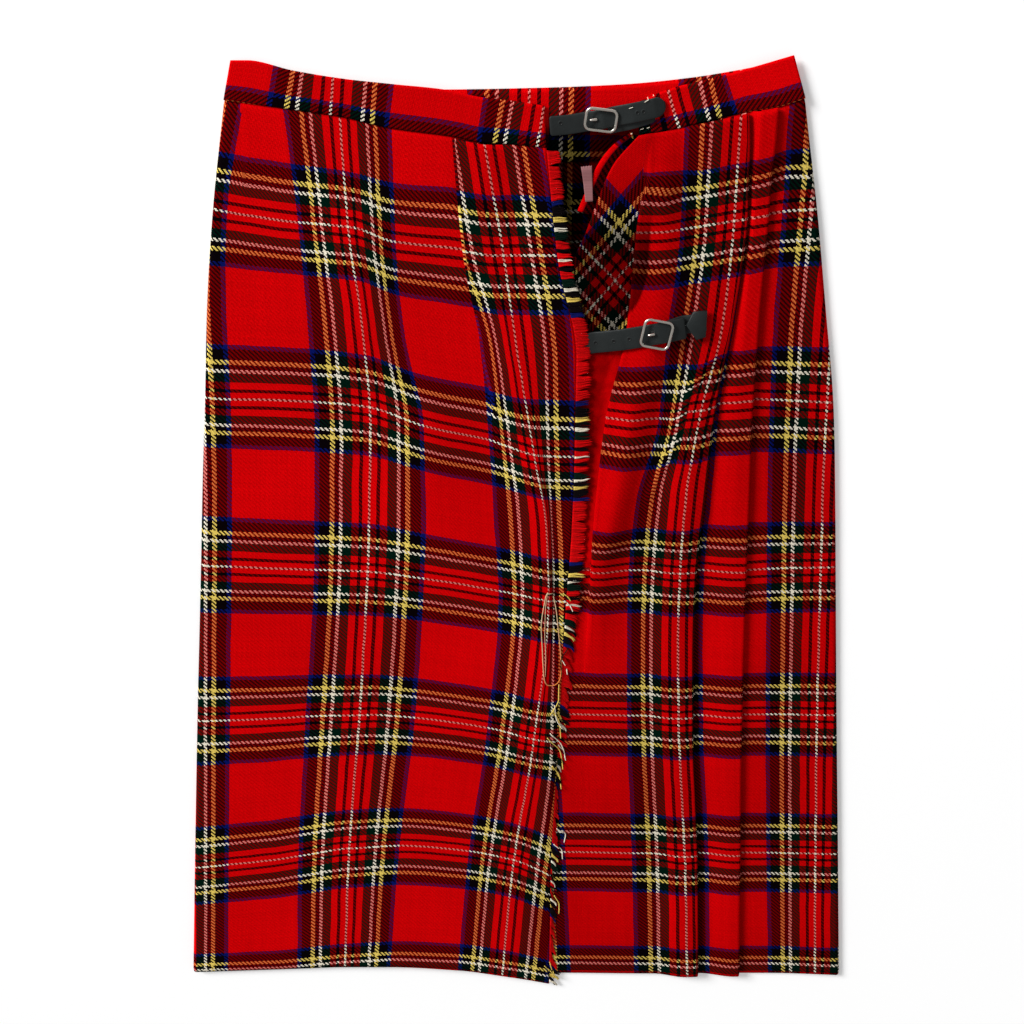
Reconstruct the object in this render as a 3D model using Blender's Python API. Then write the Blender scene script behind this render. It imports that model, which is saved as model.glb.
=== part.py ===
"""A tartan kilt skirt laid flat: over-apron, hip panel with two knife pleats, back, waistbands, straps.

Every table is in millimetres on the surface the skirt lies on: "across" runs to the right of the
middle, "down" runs from the waist corner to the hem, and heights are those of the middle of the cloth.
The tartan's own threads are the guide lines: a row of a table is one weft line, counted in setts
(one repeat of the tartan) down from the waist, and a column is one warp line.
"""
import math

import bpy
import numpy as np
from mathutils import Vector
from mathutils.bvhtree import BVHTree

MM = 0.001
GAP = 0.3                    # between pieces that touch
CLOTH = 1.3                  # thickness of the woollen cloth
BAND = 2.6                   # thickness of a waistband, two layers of cloth
INNER_BAND = 1.8             # thickness of the under-apron's waistband, pressed thinner where it lies inside
LEATHER = 1.8                # thickness of strap leather
RIBBON = 0.6                 # thickness of the satin ribbon
TURN = 1.1                   # radius of a pressed fold, at the middle of the cloth
MIDDLE_ACROSS = -0.5         # middle of the whole outline, in the tables' own measure
MIDDLE_DOWN = 366.0
BACK_HEM = 710.0             # the back's own hem, hidden just inside the front's

LAYER = CLOTH + GAP
FLOOR_LAYER = CLOTH / 2              # middle height of the back
UNDER_LAYER = FLOOR_LAYER + LAYER    # of what lies on the back
TOP_LAYER = UNDER_LAYER + LAYER      # of what lies on that
ROLL = TOP_LAYER - 1.05              # radius with which the front turns down at the sides

# The over-apron. Warp lines: side fold, left edge, middle and right edge of the first stripe group,
# the tuck (lower down the left edge of the second group), middle of that group, its white line, raw edge.
APRON_SETTS = (0.44, 1.0, 1.5, 2.0, 2.5, 3.0, 4.0, 5.0, 5.88)
APRON_ACROSS = (
    (-179, -143, -109, -78, -41, -21, -3, 17),
    (-192, -138, -107, -78, -35, -9, 9, 25),
    (-201, -136, -101, -74, -24, 0, 18, 38),
    (-208, -135, -98, -63, -19, 11, 20, 38),
    (-215, -138, -101, -63, -16, 20, 23, 37),
    (-222, -142, -105, -66, -13, 22, 25, 34),
    (-236, -155, -116, -76, -22, 12, 25, 30),
    (-250, -168, -129, -91, -37, -3, 15, 26),
    (-261, -176, -138, -102, -47, -12, 7, 26),
)
APRON_DOWN = (
    (26, 31, 36, 43, 48, 52, 53, 55),
    (96, 102, 103, 115, 123, 126, 126, 126),
    (158, 162, 165, 176, 187, 191, 192, 193),
    (223, 226, 229, 240, 252, 260, 262, 263),
    (284, 288, 290, 298, 309, 317, 318, 319),
    (350, 353, 354, 359, 369, 376, 377, 378),
    (478, 475, 474, 477, 485, 494, 497, 498),
    (612, 601, 595, 595, 600, 608, 618, 626),
    (720, 716, 714, 714, 717, 723, 727, 732),
)
APRON_HEIGHT = (
    (3.9, 3.9, 3.9, 3.9, 3.9, 3.9, 4.2, 4.6),
    (3.9, 4.2, 6.0, 4.6, 3.9, 5.5, 7.5, 7.2),
    (3.9, 4.4, 7.5, 6.5, 4.2, 11.0, 9.0, 7.3),
    (3.9, 4.8, 7.0, 9.0, 4.6, 11.0, 8.5, 7.4),
    (3.9, 5.0, 6.2, 8.0, 5.6, 9.5, 7.2, 7.4),
    (3.9, 4.8, 5.8, 6.5, 6.0, 9.0, 6.6, 6.4),
    (3.9, 4.6, 6.4, 5.2, 5.8, 8.0, 6.8, 4.6),
    (3.9, 4.4, 6.0, 5.2, 6.6, 7.2, 6.0, 4.6),
    (3.9, 4.2, 4.6, 4.6, 5.2, 5.2, 4.8, 4.2),
)
TUCK = 4                                                            # column of the tuck
TUCK_LENGTH = (14.0, 8.5, 0.8, 0.8, 0.8, 0.8, 0.8, 0.8, 0.8)        # cloth laid back under it
TUCK_TURN = (1.0, 1.0, 1.0, 0.2, 0.0, 0.0, 0.0, 0.0, 0.0)           # 1 is folded flat on itself

# The hip panel, which goes on to the left as the under-apron. Warp lines: its hidden end, the fold
# that faces the opening, the ridge beside it, left edge and middle of the third stripe group,
# the two pleat edges, left edge of the fourth group, side fold.
HIP_SETTS = (0.44, 0.6, 0.8, 1.0, 1.5, 2.0, 2.5, 3.0, 4.0, 5.0, 5.91)
HIP_ACROSS = (
    (74, 79, 88, 102, 135, 140, 158, 165, 174),
    (58, 76, 88, 102, 135, 142, 158, 165, 178),
    (49, 75, 90, 102, 135, 143, 157, 166, 183),
    (41, 74, 90, 102, 135, 144, 157, 166, 188),
    (5, 70, 86, 97, 132, 139, 156, 166, 199),
    (-50, 58, 76, 94, 120, 131, 156, 168, 210),
    (-85, 53, 68, 81, 114, 128, 158, 171, 217),
    (-105, 48, 62, 78, 113, 125, 160, 175, 223),
    (-115, 44, 62, 81, 118, 129, 165, 183, 235),
    (-120, 44, 64, 89, 129, 139, 172, 193, 248),
    (-125, 44, 66, 95, 137, 146, 179, 203, 260),
)
HIP_DOWN = (
    (47, 46, 45, 42, 34, 33, 30, 28, 25),
    (66, 64, 62, 60, 54, 53, 50, 48, 46),
    (88, 87, 86, 83, 78, 77, 74, 72, 71),
    (112, 110, 109, 108, 103, 102, 100, 99, 97),
    (176, 174, 173, 172, 168, 167, 163, 162, 161),
    (238, 238, 238, 238, 234, 231, 226, 226, 227),
    (296, 296, 297, 297, 296, 293, 290, 290, 290),
    (354, 354, 354, 354, 354, 354, 354, 353, 351),
    (474, 474, 474, 474, 474, 474, 474, 474, 474),
    (598, 602, 602, 602, 602, 602, 602, 602, 602),
    (706, 722, 722, 722, 722, 722, 722, 722, 723),
)
HIP_HEIGHT = (
    (6.6, 6.4, 5.4, 4.0, 3.9, 3.9, 3.9, 3.9, 3.9),
    (7.4, 6.6, 6.8, 5.4, 3.4, 3.4, 3.4, 3.4, 3.9),
    (7.6, 4.6, 6.4, 5.8, 3.0, 3.0, 3.0, 3.0, 3.9),
    (6.4, 3.4, 5.4, 5.2, 2.6, 2.4, 2.4, 2.6, 3.9),
    (2.3, 2.8, 4.6, 5.0, 2.8, 2.4, 2.4, 2.6, 3.9),
    (2.3, 2.3, 6.4, 4.8, 5.6, 3.2, 2.6, 2.6, 3.9),
    (2.3, 2.3, 6.2, 4.6, 5.6, 3.6, 2.8, 2.8, 3.9),
    (2.3, 2.3, 4.8, 4.2, 5.0, 3.6, 2.8, 2.8, 3.9),
    (2.3, 2.3, 3.2, 3.8, 4.0, 3.0, 2.6, 2.6, 3.9),
    (2.3, 2.3, 2.8, 3.6, 3.6, 2.8, 2.6, 2.6, 3.9),
    (2.3, 2.3, 2.6, 3.0, 3.0, 2.6, 2.4, 2.4, 3.9),
)
OPENING_FOLD = 1
FIRST_PLEAT = 5
SECOND_PLEAT = 6
OPENING_LENGTH = (0.8, 0.8, 8.0, 14.0, 14.0, 13.0, 8.0, 0.8, 0.8, 0.8, 0.8)
OPENING_TURN = (0.0, 0.3, 0.9, 1.0, 1.0, 1.0, 1.0, 0.7, 0.0, 0.0, 0.0)
FIRST_LENGTH = (14.0, 14.0, 13.0, 12.5, 11.5, 10.5, 10.0, 9.5, 8.5, 8.0, 7.5)
SECOND_LENGTH = (7.0, 7.0, 6.5, 6.0, 6.0, 5.5, 4.5, 4.0, 3.0, 2.0, 1.5)
PRESSED = (1.0,) * len(HIP_SETTS)
FOLD_SLOPE = 26.0            # how far the cloth takes to come down from a fold
FOLD_MARGIN = 3.0            # how far past the cloth laid under it the upper layer stays up
STEP_OFF = 0.4               # from a fold's last point to the next point of the open cloth
SPREAD = 0.8                 # spacing of a fold's points where it has opened out

# The weft lines, in setts down, that the solids' own rows of points follow.
APRON_ROWS = np.array([0.445, 0.7, 1.0, 1.25, 1.5, 1.625, 1.75, 1.875, 2.0, 2.25, 2.5, 2.75, 3.0, 3.5, 4.0,
                       4.5, 5.0, 5.5, 5.88])
HIP_ROWS = np.array([0.445, 0.52, 0.6, 0.7, 0.8, 0.9, 1.0, 1.25, 1.5, 1.75, 2.0, 2.25, 2.5, 2.75, 3.0, 3.125,
                     3.25, 3.5, 3.75, 4.0, 4.5, 5.0, 5.5, 5.91])

# Edges of the waistbands: (across, down) along the top edge and along the seam.
APRON_BAND_TOP = ((-173, 3), (-163, 3), (-136, 9), (-105, 14), (-77, 17), (-47, 20), (-22, 25), (-4, 27), (16, 30))
APRON_BAND_SEAM = tuple(zip(APRON_ACROSS[0], APRON_DOWN[0]))
HIP_BAND_TOP = ((72, 28), (91, 20), (115, 14), (134, 9), (165, 0))
HIP_BAND_SEAM = tuple(zip(HIP_ACROSS[0], HIP_DOWN[0]))
BACK_BAND_TOP = ((-169, 8), (-105, 17), (-47, 21), (13, 20), (62, 18), (104, 14), (162, 4))
BACK_BAND_SEAM = ((-173, 30), (-105, 40), (-47, 45), (13, 46), (62, 44), (104, 38), (168, 27))
FACING_TOP = ((-110, 19), (-47, 22), (13, 21), (62, 19), (104, 15))
FACING_RAW = ((-110, 62), (-47, 64), (13, 65), (48, 64), (104, 56))
INNER_BAND_TOP = ((69, 46), (58, 54), (49, 66), (43, 80), (37, 95))
INNER_BAND_SEAM = ((76, 56), (72, 63), (66, 74), (60, 87), (54, 101))

# Straps: (across, down) along the middle line, and the buckles on them.
WAIST_WIDTH = 12.0           # of the upper strap
HIP_WIDTH = 14.5             # of the lower strap
WAIST_CHAPE_WIDTH = 11.0     # of the short strap that holds the upper buckle
HIP_CHAPE_WIDTH = 12.5
BLUNT = 0.6                  # how far short of a point a rounded tip stops
WAIST_STRAP = ((19, 42.4), (30, 41.4), (42, 39.4), (54, 36.8), (66, 34), (78, 31.4), (89, 28.6))
HIP_STRAP = ((40, 184), (52, 182), (66, 179), (80, 176), (96, 172), (108, 170))
BUCKLE_WIRE = 1.25           # half the thickness of a buckle frame's wire
WAIST_BUCKLE = {"at": (50, 37.6), "size": (20.5, 15), "turn": 7, "tip": 5}
HIP_BUCKLE = {"at": (89, 173), "size": (20, 20), "turn": 11, "tip": 0}
WAIST_CHAPE = ((54, 42), (64, 39.6), (82, 33.8))
HIP_CHAPE = ((92, 173), (106, 169), (121, 167))
HIP_TAB = {"tip": (108, 168), "top": (112, 159), "end_top": (121, 158), "end_low": (121, 176), "low": (115, 178)}
WAIST_PRONG = ((48, 37.4), (43, 38))
HIP_PRONG = ((88, 173), (83, 174))
RIBBON_ROUTE = ((42, 67), (43, 76), (44, 88))
RIBBON_WIDTH = 8.0

BUCKLE_CORNER = 3.5
PRONG_RADIUS = 1.0
PROBE_MARGIN = 0.4           # how far beside and along a strap the things under it count
PROBE_REACH = 2.0
STRAP_FALL = 0.3             # how fast a stiff strap comes down again, in mm for each mm of its length

# The raw edge's fringe: the stretch of the edge it covers, in setts down, and how many degrees
# its locks hang down instead of straight out, along that edge.
LOCKS = 72
FRINGE_SETTS = (0.46, 5.8)
LOCK_LENGTH = 10.5
LOCK_TAPER = 0.45
FRINGE_STRIP = 1.5           # width of the narrow strip that the locks grow out of
FRINGE_THICK = 1.1
LOCK_DROOP = ((0.44, 0), (2.0, 8), (3.0, 38), (3.6, 55), (4.2, 50), (5.0, 58), (5.88, 45))

MATERIALS = {
    "tartan": ((0.55, 0.02, 0.03), 0.9, 0.0),
    "fringe": ((0.55, 0.03, 0.03), 0.95, 0.0),
    "leather": ((0.02, 0.023, 0.023), 0.55, 0.0),
    "nickel": ((0.62, 0.56, 0.5), 0.3, 1.0),
    "ribbon": ((0.62, 0.36, 0.4), 0.6, 0.0),
}


def material(name):
    """The named material, made the first time it is asked for."""
    found = bpy.data.materials.get(name)
    if found:
        return found
    colour, rough, metal = MATERIALS[name]
    made = bpy.data.materials.new(name)
    made.use_nodes = True
    shader = made.node_tree.nodes["Principled BSDF"]
    shader.inputs["Base Color"].default_value = (*colour, 1.0)
    shader.inputs["Roughness"].default_value = rough
    shader.inputs["Metallic"].default_value = metal
    return made


def smooth(keys, values, at):
    """Smooth curve through the values at the keys, along the first axis, with no overshoot.

    Each stretch is a cubic whose slope at a key is the harmonic mean of the two chords there,
    or zero where they turn, so a fold stays where its row or column puts it.
    """
    keys = np.asarray(keys, float)
    values = np.asarray(values, float)
    at = np.clip(np.asarray(at, float), keys[0], keys[-1])
    step = np.diff(keys)
    step = step.reshape(step.shape + (1,) * (values.ndim - 1))
    chord = np.diff(values, axis=0) / step
    slope = np.concatenate([chord[:1], np.zeros_like(chord[1:]), chord[-1:]])
    before, after = chord[:-1], chord[1:]
    same = before * after > 0
    total = np.where(same, before + after, 1.0)
    slope[1:-1] = np.where(same, 2 * before * after / total, 0.0)
    cell = np.clip(np.searchsorted(keys, at, side="right") - 1, 0, len(keys) - 2)
    part = (at - keys[cell]) / (keys[cell + 1] - keys[cell])
    part = part.reshape(part.shape + (1,) * (values.ndim - 1))
    width = step[cell]
    start, end = values[cell], values[cell + 1]
    rise = part * part * (3 - 2 * part)
    lead = part * (1 - part) ** 2 * width * slope[cell]
    trail = part * part * (part - 1) * width * slope[cell + 1]
    return start + (end - start) * rise + lead + trail


def ramp(value):
    """Soft step from 0 to 1."""
    value = np.clip(value, 0.0, 1.0)
    return value * value * (3 - 2 * value)


def fold_profile(length, turn, steps=4):
    """A fold seen end on: across and up from where the lower layer stops, to where the upper starts.

    The cloth turns back on itself with the pressed radius, runs back for the length and turns
    forward again. A turn of 1 lays it flat on itself, and 0 leaves it straight, spread over a
    few millimetres so that no two points meet.
    """
    angle = math.pi * turn
    sweep = np.linspace(0.0, angle, steps)
    first = np.stack([TURN * np.sin(sweep), TURN * (1 - np.cos(sweep))], axis=1)
    run = length * np.array([math.cos(angle), math.sin(angle)])
    centre = first[-1] + run + TURN * np.array([math.sin(angle), -math.cos(angle)])
    back = sweep[::-1]
    second = centre + TURN * np.stack([-np.sin(back), np.cos(back)], axis=1)
    profile = np.concatenate([first, second])
    profile[:, 0] += (1 - turn) * SPREAD * np.arange(len(profile))
    return profile


def fold_rise(length, turn):
    """Height of the upper layer over the lower one."""
    return fold_profile(length, turn)[-1, 1]


def stretch(knots, weft, height, parts=3):
    """Points of one weft line through the knots, each stretch between two of them cut in equal parts."""
    knots = np.asarray(knots, float)
    at = np.linspace(0, len(knots) - 1, parts * (len(knots) - 1) + 1)
    across = np.interp(at, np.arange(len(knots)), knots)
    return np.stack([across, weft(across), height(across)], axis=1)


def left_fold(edge, weft, length, turn, base):
    """Points of a fold whose edge faces left, from its lower layer to its upper one."""
    profile = fold_profile(length, turn)
    lower_end = edge + CLOTH / 2 + TURN - length * math.cos(math.pi * turn)
    across = lower_end + profile[:, 0]
    return np.stack([across, weft(across), base(across) + profile[:, 1]], axis=1)


def right_fold(edge, weft, length, turn, base):
    """Points of a fold whose edge faces right, from its upper layer to its lower one."""
    profile = fold_profile(length, turn)
    lower_end = edge - CLOTH / 2 - TURN + length * math.cos(math.pi * turn)
    across = (lower_end - profile[:, 0])[::-1]
    return np.stack([across, weft(across), base(across) + profile[::-1, 1]], axis=1)


def side_roll(edge, down, facing, height, steps=4):
    """Points of the side fold of the laid skirt, from just off the floor up to the flat front."""
    sweep = np.linspace(0.0, math.pi / 2, steps)
    across = CLOTH / 2 + ROLL * (1 - np.cos(sweep))
    up = height - ROLL * (1 - np.sin(sweep))
    across = np.concatenate([[CLOTH / 2], across])
    up = np.concatenate([[GAP], up])
    return np.stack([edge - facing * across, np.full(len(across), down), up], axis=1)


def apron_row(across, down, height, length, turn):
    """One weft line of the over-apron, from the side fold to the raw edge."""
    def base(x):
        return np.interp(x, across, height)

    def weft(x):
        return smooth(across, down, x)

    rise = fold_rise(length, turn)
    edge = across[TUCK]

    def over(x):
        return base(x) + rise * (1 - ramp((x - edge - length - FOLD_MARGIN) / FOLD_SLOPE))

    roll = side_roll(across[0], down[0], -1, height[0])
    fold = left_fold(edge, weft, length, turn, base)
    left = stretch([roll[-1, 0] + 1, *across[1:TUCK + 1]], weft, base)
    past_fold = max(edge + length + FOLD_MARGIN, fold[-1, 0] + 2)
    right = stretch([fold[-1, 0] + STEP_OFF, past_fold, *across[TUCK + 1:]], weft, over)
    return np.concatenate([roll, left, fold, right])


def hip_row(across, down, height, opening, first, second):
    """One weft line of the hip panel, from its hidden end to the side fold."""
    def base(x):
        return np.interp(x, across, height)

    def weft(x):
        return smooth(across, down, x)

    rise = fold_rise(*opening)
    tall = fold_rise(*first)
    fold_at, ridge_at, group_at = across[OPENING_FOLD:OPENING_FOLD + 3]
    first_at = across[FIRST_PLEAT]
    second_at = across[SECOND_PLEAT]
    before_first = first_at - first[0] - FOLD_MARGIN
    before_second = second_at - second[0] - FOLD_MARGIN

    def low(x):
        return base(x) + tall * ramp((x - first_at - STEP_OFF) / (before_second - first_at - STEP_OFF))

    def over_first(x):
        opened = rise * (1 - ramp((x - fold_at - opening[0] - FOLD_MARGIN) / FOLD_SLOPE))
        return base(x) + opened + tall * ramp((x - before_first + FOLD_SLOPE) / FOLD_SLOPE)

    fold_1 = left_fold(fold_at, weft, *opening, base)
    fold_2 = right_fold(first_at, weft, *first, base)
    fold_3 = right_fold(second_at, weft, *second, base)
    roll = side_roll(across[-1], down[-1], 1, height[-1])[::-1]
    hidden = stretch(across[:OPENING_FOLD + 1], weft, base, 4)
    ridge = stretch([fold_1[-1, 0] + STEP_OFF, ridge_at, group_at, before_first - FOLD_SLOPE / 2,
                     before_first, fold_2[0, 0] - STEP_OFF], weft, over_first)
    middle = stretch([first_at + STEP_OFF, before_second, fold_3[0, 0] - STEP_OFF], weft, low)
    side = stretch([second_at + STEP_OFF, across[SECOND_PLEAT + 1], roll[0, 0] - 1], weft, base)
    return np.concatenate([hidden, fold_1, ridge, fold_2, middle, fold_3, side, roll])


def apron_grid(setts):
    """Middle of the over-apron's cloth: one row of points for each weft line asked for."""
    tables = (APRON_ACROSS, APRON_DOWN, APRON_HEIGHT, TUCK_LENGTH, TUCK_TURN)
    rows = zip(*(smooth(APRON_SETTS, table, setts) for table in tables))
    return np.array([apron_row(*row) for row in rows])


def hip_grid(setts):
    """Middle of the hip panel's cloth: one row of points for each weft line asked for."""
    tables = (HIP_ACROSS, HIP_DOWN, HIP_HEIGHT)
    folds = (OPENING_LENGTH, OPENING_TURN, FIRST_LENGTH, PRESSED, SECOND_LENGTH)
    lines = [smooth(HIP_SETTS, table, setts) for table in tables + folds]
    rows = []
    for across, down, height, length, turn, first, pressed, second in zip(*lines):
        rows.append(hip_row(across, down, height, (length, turn), (first, pressed), (second, pressed)))
    return np.array(rows)


def edge_line(edge, across):
    """Points (across, down) of a smooth edge at the places across that are asked for."""
    edge = np.array(edge, float)
    return np.stack([across, smooth(edge[:, 0], edge[:, 1], across)], axis=1)


def band_grid(top, seam, height, count, rows=3):
    """Middle of a waistband between its top edge and its seam."""
    top_line = edge_line(top, np.linspace(top[0][0], top[-1][0], count))
    seam_line = edge_line(seam, np.linspace(seam[0][0], seam[-1][0], count))
    part = np.linspace(0.0, 1.0, rows)[:, None, None]
    flat = top_line + (seam_line - top_line) * part
    return np.concatenate([flat, np.full(flat.shape[:2] + (1,), float(height))], axis=2)


def back_grid(count_down):
    """Middle of the back: flat on the floor, a gap inside the front's two side folds."""
    inset = CLOTH + 3 * GAP
    level = np.linspace(APRON_DOWN[0][0], BACK_HEM, count_down)
    left_side = np.array([(row[0], place[0]) for row, place in zip(APRON_DOWN, APRON_ACROSS)])
    right_side = np.array([(row[-1], place[-1]) for row, place in zip(HIP_DOWN, HIP_ACROSS)])
    left = np.interp(level, *left_side.T) + inset
    right = np.interp(level, *right_side.T) - inset
    part = np.linspace(0.0, 1.0, 9)
    across = left[:, None] + (right - left)[:, None] * part
    top = edge_line(BACK_BAND_SEAM, across[0])[:, 1] + 2 * GAP
    share = np.linspace(0.0, 1.0, count_down)[:, None]
    down = top + (BACK_HEM - top) * share
    return np.stack([across, down, np.full_like(across, FLOOR_LAYER)], axis=2)


def strip_grid(first_edge, second_edge, height, count):
    """Middle of a flat strip between two edges, each given as (across, down) points."""
    first = smooth(np.linspace(0, 1, len(first_edge)), first_edge, np.linspace(0, 1, count))
    second = smooth(np.linspace(0, 1, len(second_edge)), second_edge, np.linspace(0, 1, count))
    flat = np.stack([first, second])
    heights = np.full(flat.shape[:2] + (1,), float(height))
    return np.concatenate([flat, heights], axis=2)


def to_metres(points):
    """From across, down and height in mm to the part's own frame in metres."""
    points = np.asarray(points, float)
    moved = np.stack([points[..., 0] - MIDDLE_ACROSS, MIDDLE_DOWN - points[..., 1], points[..., 2]], axis=-1)
    return moved * MM


def add_object(name, points, faces, slot):
    """A named object from points in the tables' own measure, with its faces turned outward."""
    mesh = bpy.data.meshes.new(name)
    mesh.from_pydata(to_metres(points).tolist(), [], faces)
    mesh.validate()
    mesh.update()
    mesh.materials.append(material(slot))
    made = bpy.data.objects.new(name, mesh)
    bpy.context.collection.objects.link(made)
    mesh.shade_smooth()
    mesh.set_sharp_from_angle(angle=math.radians(40))
    return made


def normals(grid):
    """Unit normal of the cloth at each point of a grid, pointing up where the cloth lies flat."""
    along = np.gradient(grid, axis=1)
    down = np.gradient(grid, axis=0)
    normal = np.cross(along, down)
    return normal / np.linalg.norm(normal, axis=2, keepdims=True)


def grid_faces(rows, columns, offset, flip):
    """Quads of one side of a wall."""
    faces = []
    for row in range(rows - 1):
        for column in range(columns - 1):
            corner = offset + row * columns + column
            quad = (corner, corner + 1, corner + columns + 1, corner + columns)
            faces.append(quad[::-1] if flip else quad)
    return faces


def rim_faces(rows, columns, lower):
    """Quads that close a wall along its four edges, from its upper side to its lower one."""
    top_edge = [(0, column) for column in range(columns)]
    right_edge = [(row, columns - 1) for row in range(1, rows)]
    low_edge = [(rows - 1, column) for column in range(columns - 2, -1, -1)]
    left_edge = [(row, 0) for row in range(rows - 2, 0, -1)]
    loop = [row * columns + column for row, column in top_edge + right_edge + low_edge + left_edge]
    faces = []
    for here, there in zip(loop, loop[1:] + loop[:1]):
        faces.append((here, there, there + lower, here + lower))
    return faces


def wall(name, grid, thickness, slot):
    """A closed wall of even thickness round a grid of points in the middle of the cloth."""
    rows, columns = grid.shape[:2]
    half = normals(grid) * thickness / 2
    points = np.concatenate([(grid + half).reshape(-1, 3), (grid - half).reshape(-1, 3)])
    lower = rows * columns
    faces = grid_faces(rows, columns, 0, True) + grid_faces(rows, columns, lower, False)
    return add_object(name, points, faces + rim_faces(rows, columns, lower), slot)


def ring_tube(name, rings, slot, closed):
    """A closed solid through rings of points, joined end to end or capped."""
    count, sides = rings.shape[:2]
    faces = []
    for ring in range(count if closed else count - 1):
        after = (ring + 1) % count
        for side in range(sides):
            beside = (side + 1) % sides
            faces.append((ring * sides + side, ring * sides + beside, after * sides + beside, after * sides + side))
    if not closed:
        faces.append(tuple(range(sides))[::-1])
        faces.append(tuple((count - 1) * sides + side for side in range(sides)))
    return add_object(name, rings.reshape(-1, 3), faces, slot)


def surface_tree(made):
    """Something to drop plumb lines on: the faces of objects already made."""
    points = []
    faces = []
    for one in made:
        start = len(points)
        points.extend(vertex.co.copy() for vertex in one.data.vertices)
        faces.extend([start + index for index in face.vertices] for face in one.data.polygons)
    return BVHTree.FromPolygons(points, faces)


def ground_height(tree, across, down):
    """Height in mm of what lies under a place, found with a plumb line from above."""
    spot = Vector(to_metres((across, down, 100.0)).tolist())
    hit = tree.ray_cast(spot, Vector((0.0, 0.0, -1.0)))[0]
    return hit.z / MM if hit else 0.0


def strap_grid(tree, route, width, thickness, count, columns=4):
    """Middle of a strap laid over what is under it, along a route of (across, down) points.

    Each cross-section rests on the highest thing found under it, and the strap comes down from
    there no faster than its stiffness lets it.
    """
    route = np.array(route, float)
    middle = smooth(np.linspace(0, 1, len(route)), route, np.linspace(0, 1, count))
    along = np.gradient(middle, axis=0)
    along /= np.linalg.norm(along, axis=1, keepdims=True)
    beside = np.stack([-along[:, 1], along[:, 0]], axis=1)
    offsets = np.linspace(-width / 2, width / 2, columns)
    flat = middle[None] + beside[None] * offsets[:, None, None]
    reaches = np.linspace(-PROBE_REACH, PROBE_REACH, 5)
    under = np.zeros(count)
    for row in range(count):
        for offset in np.linspace(-width / 2 - PROBE_MARGIN, width / 2 + PROBE_MARGIN, 9):
            for reach in reaches:
                spot = middle[row] + beside[row] * offset + along[row] * reach
                under[row] = max(under[row], ground_height(tree, *spot))
    drop = STRAP_FALL * np.linalg.norm(np.diff(middle, axis=0), axis=1).mean()
    for row in range(1, count):
        under[row] = max(under[row], under[row - 1] - drop)
    for row in range(count - 2, -1, -1):
        under[row] = max(under[row], under[row + 1] - drop)
    height = under + GAP + thickness / 2
    heights = np.broadcast_to(height[None, :, None], flat.shape[:2] + (1,))
    return np.concatenate([flat, heights], axis=2)


def strap(name, grid, thickness, rounded_tip):
    """A leather strap, with its last stretch narrowed to a round tip where it has one."""
    grid = grid.copy()
    if rounded_tip:
        middle = grid.mean(axis=0, keepdims=True)
        count = grid.shape[1]
        length = np.linalg.norm(np.diff(middle[0], axis=0), axis=1)
        to_tip = np.concatenate([np.cumsum(length[::-1])[::-1], [0.0]])
        radius = WAIST_WIDTH / 2
        inside = np.clip(to_tip, BLUNT, radius)
        share = np.sqrt(1 - (1 - inside / radius) ** 2)
        grid = middle + (grid - middle) * share.reshape(1, count, 1)
    return wall(name, grid, thickness, "leather")


def buckle(name, tree, at, size, turn, tip):
    """A rectangular wire frame with round corners, lying on its strap."""
    half = np.array(size, float) / 2 - BUCKLE_WIRE
    sweep = np.linspace(0, math.pi / 2, 4)
    line = []
    for quarter in range(4):
        sign = ((1, 1), (-1, 1), (-1, -1), (1, -1))[quarter]
        middle = (half - BUCKLE_CORNER) * sign
        angle = sweep + quarter * math.pi / 2
        line.extend(middle + BUCKLE_CORNER * np.stack([np.cos(angle), np.sin(angle)], axis=1))
    line = np.array(line)
    angle = math.radians(turn)
    lean = math.radians(tip)
    heading = np.array([[math.cos(angle), -math.sin(angle)], [math.sin(angle), math.cos(angle)]])
    under = 0.0
    outer = half + BUCKLE_WIRE
    for reach in np.linspace(-outer[0], outer[0], 15):
        for offset in np.linspace(-outer[1], outer[1], 15):
            spot = np.array(at) + heading @ np.array([reach, offset])
            under = max(under, ground_height(tree, *spot) + offset * math.tan(lean))
    level = under + GAP + BUCKLE_WIRE
    place = np.array(at) + line @ heading.T
    height = level - line[:, 1] * math.tan(lean)
    centre = np.column_stack([place, height])
    forward = np.roll(centre, -1, axis=0) - np.roll(centre, 1, axis=0)
    forward /= np.linalg.norm(forward, axis=1, keepdims=True)
    upward = np.array([0.0, 0.0, 1.0])
    outward = np.cross(forward, upward)
    outward /= np.linalg.norm(outward, axis=1, keepdims=True)
    raised = np.cross(outward, forward)
    around = np.linspace(0, 2 * math.pi, 6, endpoint=False) + math.pi / 6
    rings = centre[:, None] + BUCKLE_WIRE * (
        outward[:, None] * np.cos(around)[None, :, None] + raised[:, None] * np.sin(around)[None, :, None])
    return ring_tube(name, rings, "nickel", True)


def prong(name, tree, start, end):
    """The buckle's prong, a short tapered rod that lies on the strap inside the frame."""
    route = np.linspace(start, end, 4)
    thick = PRONG_RADIUS * np.array([1.0, 1.0, 0.9, 0.6])
    under = 0.0
    for place in np.linspace(start, end, 9):
        for offset in (-PRONG_RADIUS, 0.0, PRONG_RADIUS):
            under = max(under, ground_height(tree, place[0], place[1] + offset))
    along = (route[-1] - route[0]) / np.linalg.norm(route[-1] - route[0])
    beside = np.array([-along[1], along[0], 0.0])
    around = np.linspace(0, 2 * math.pi, 6, endpoint=False)
    centre = np.column_stack([route, np.full(4, under + GAP + PRONG_RADIUS)])
    rings = centre[:, None] + thick[:, None, None] * (
        beside * np.cos(around)[None, :, None] - np.array([0, 0, 1.0]) * np.sin(around)[None, :, None])
    return ring_tube(name, rings, "nickel", False)


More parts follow.
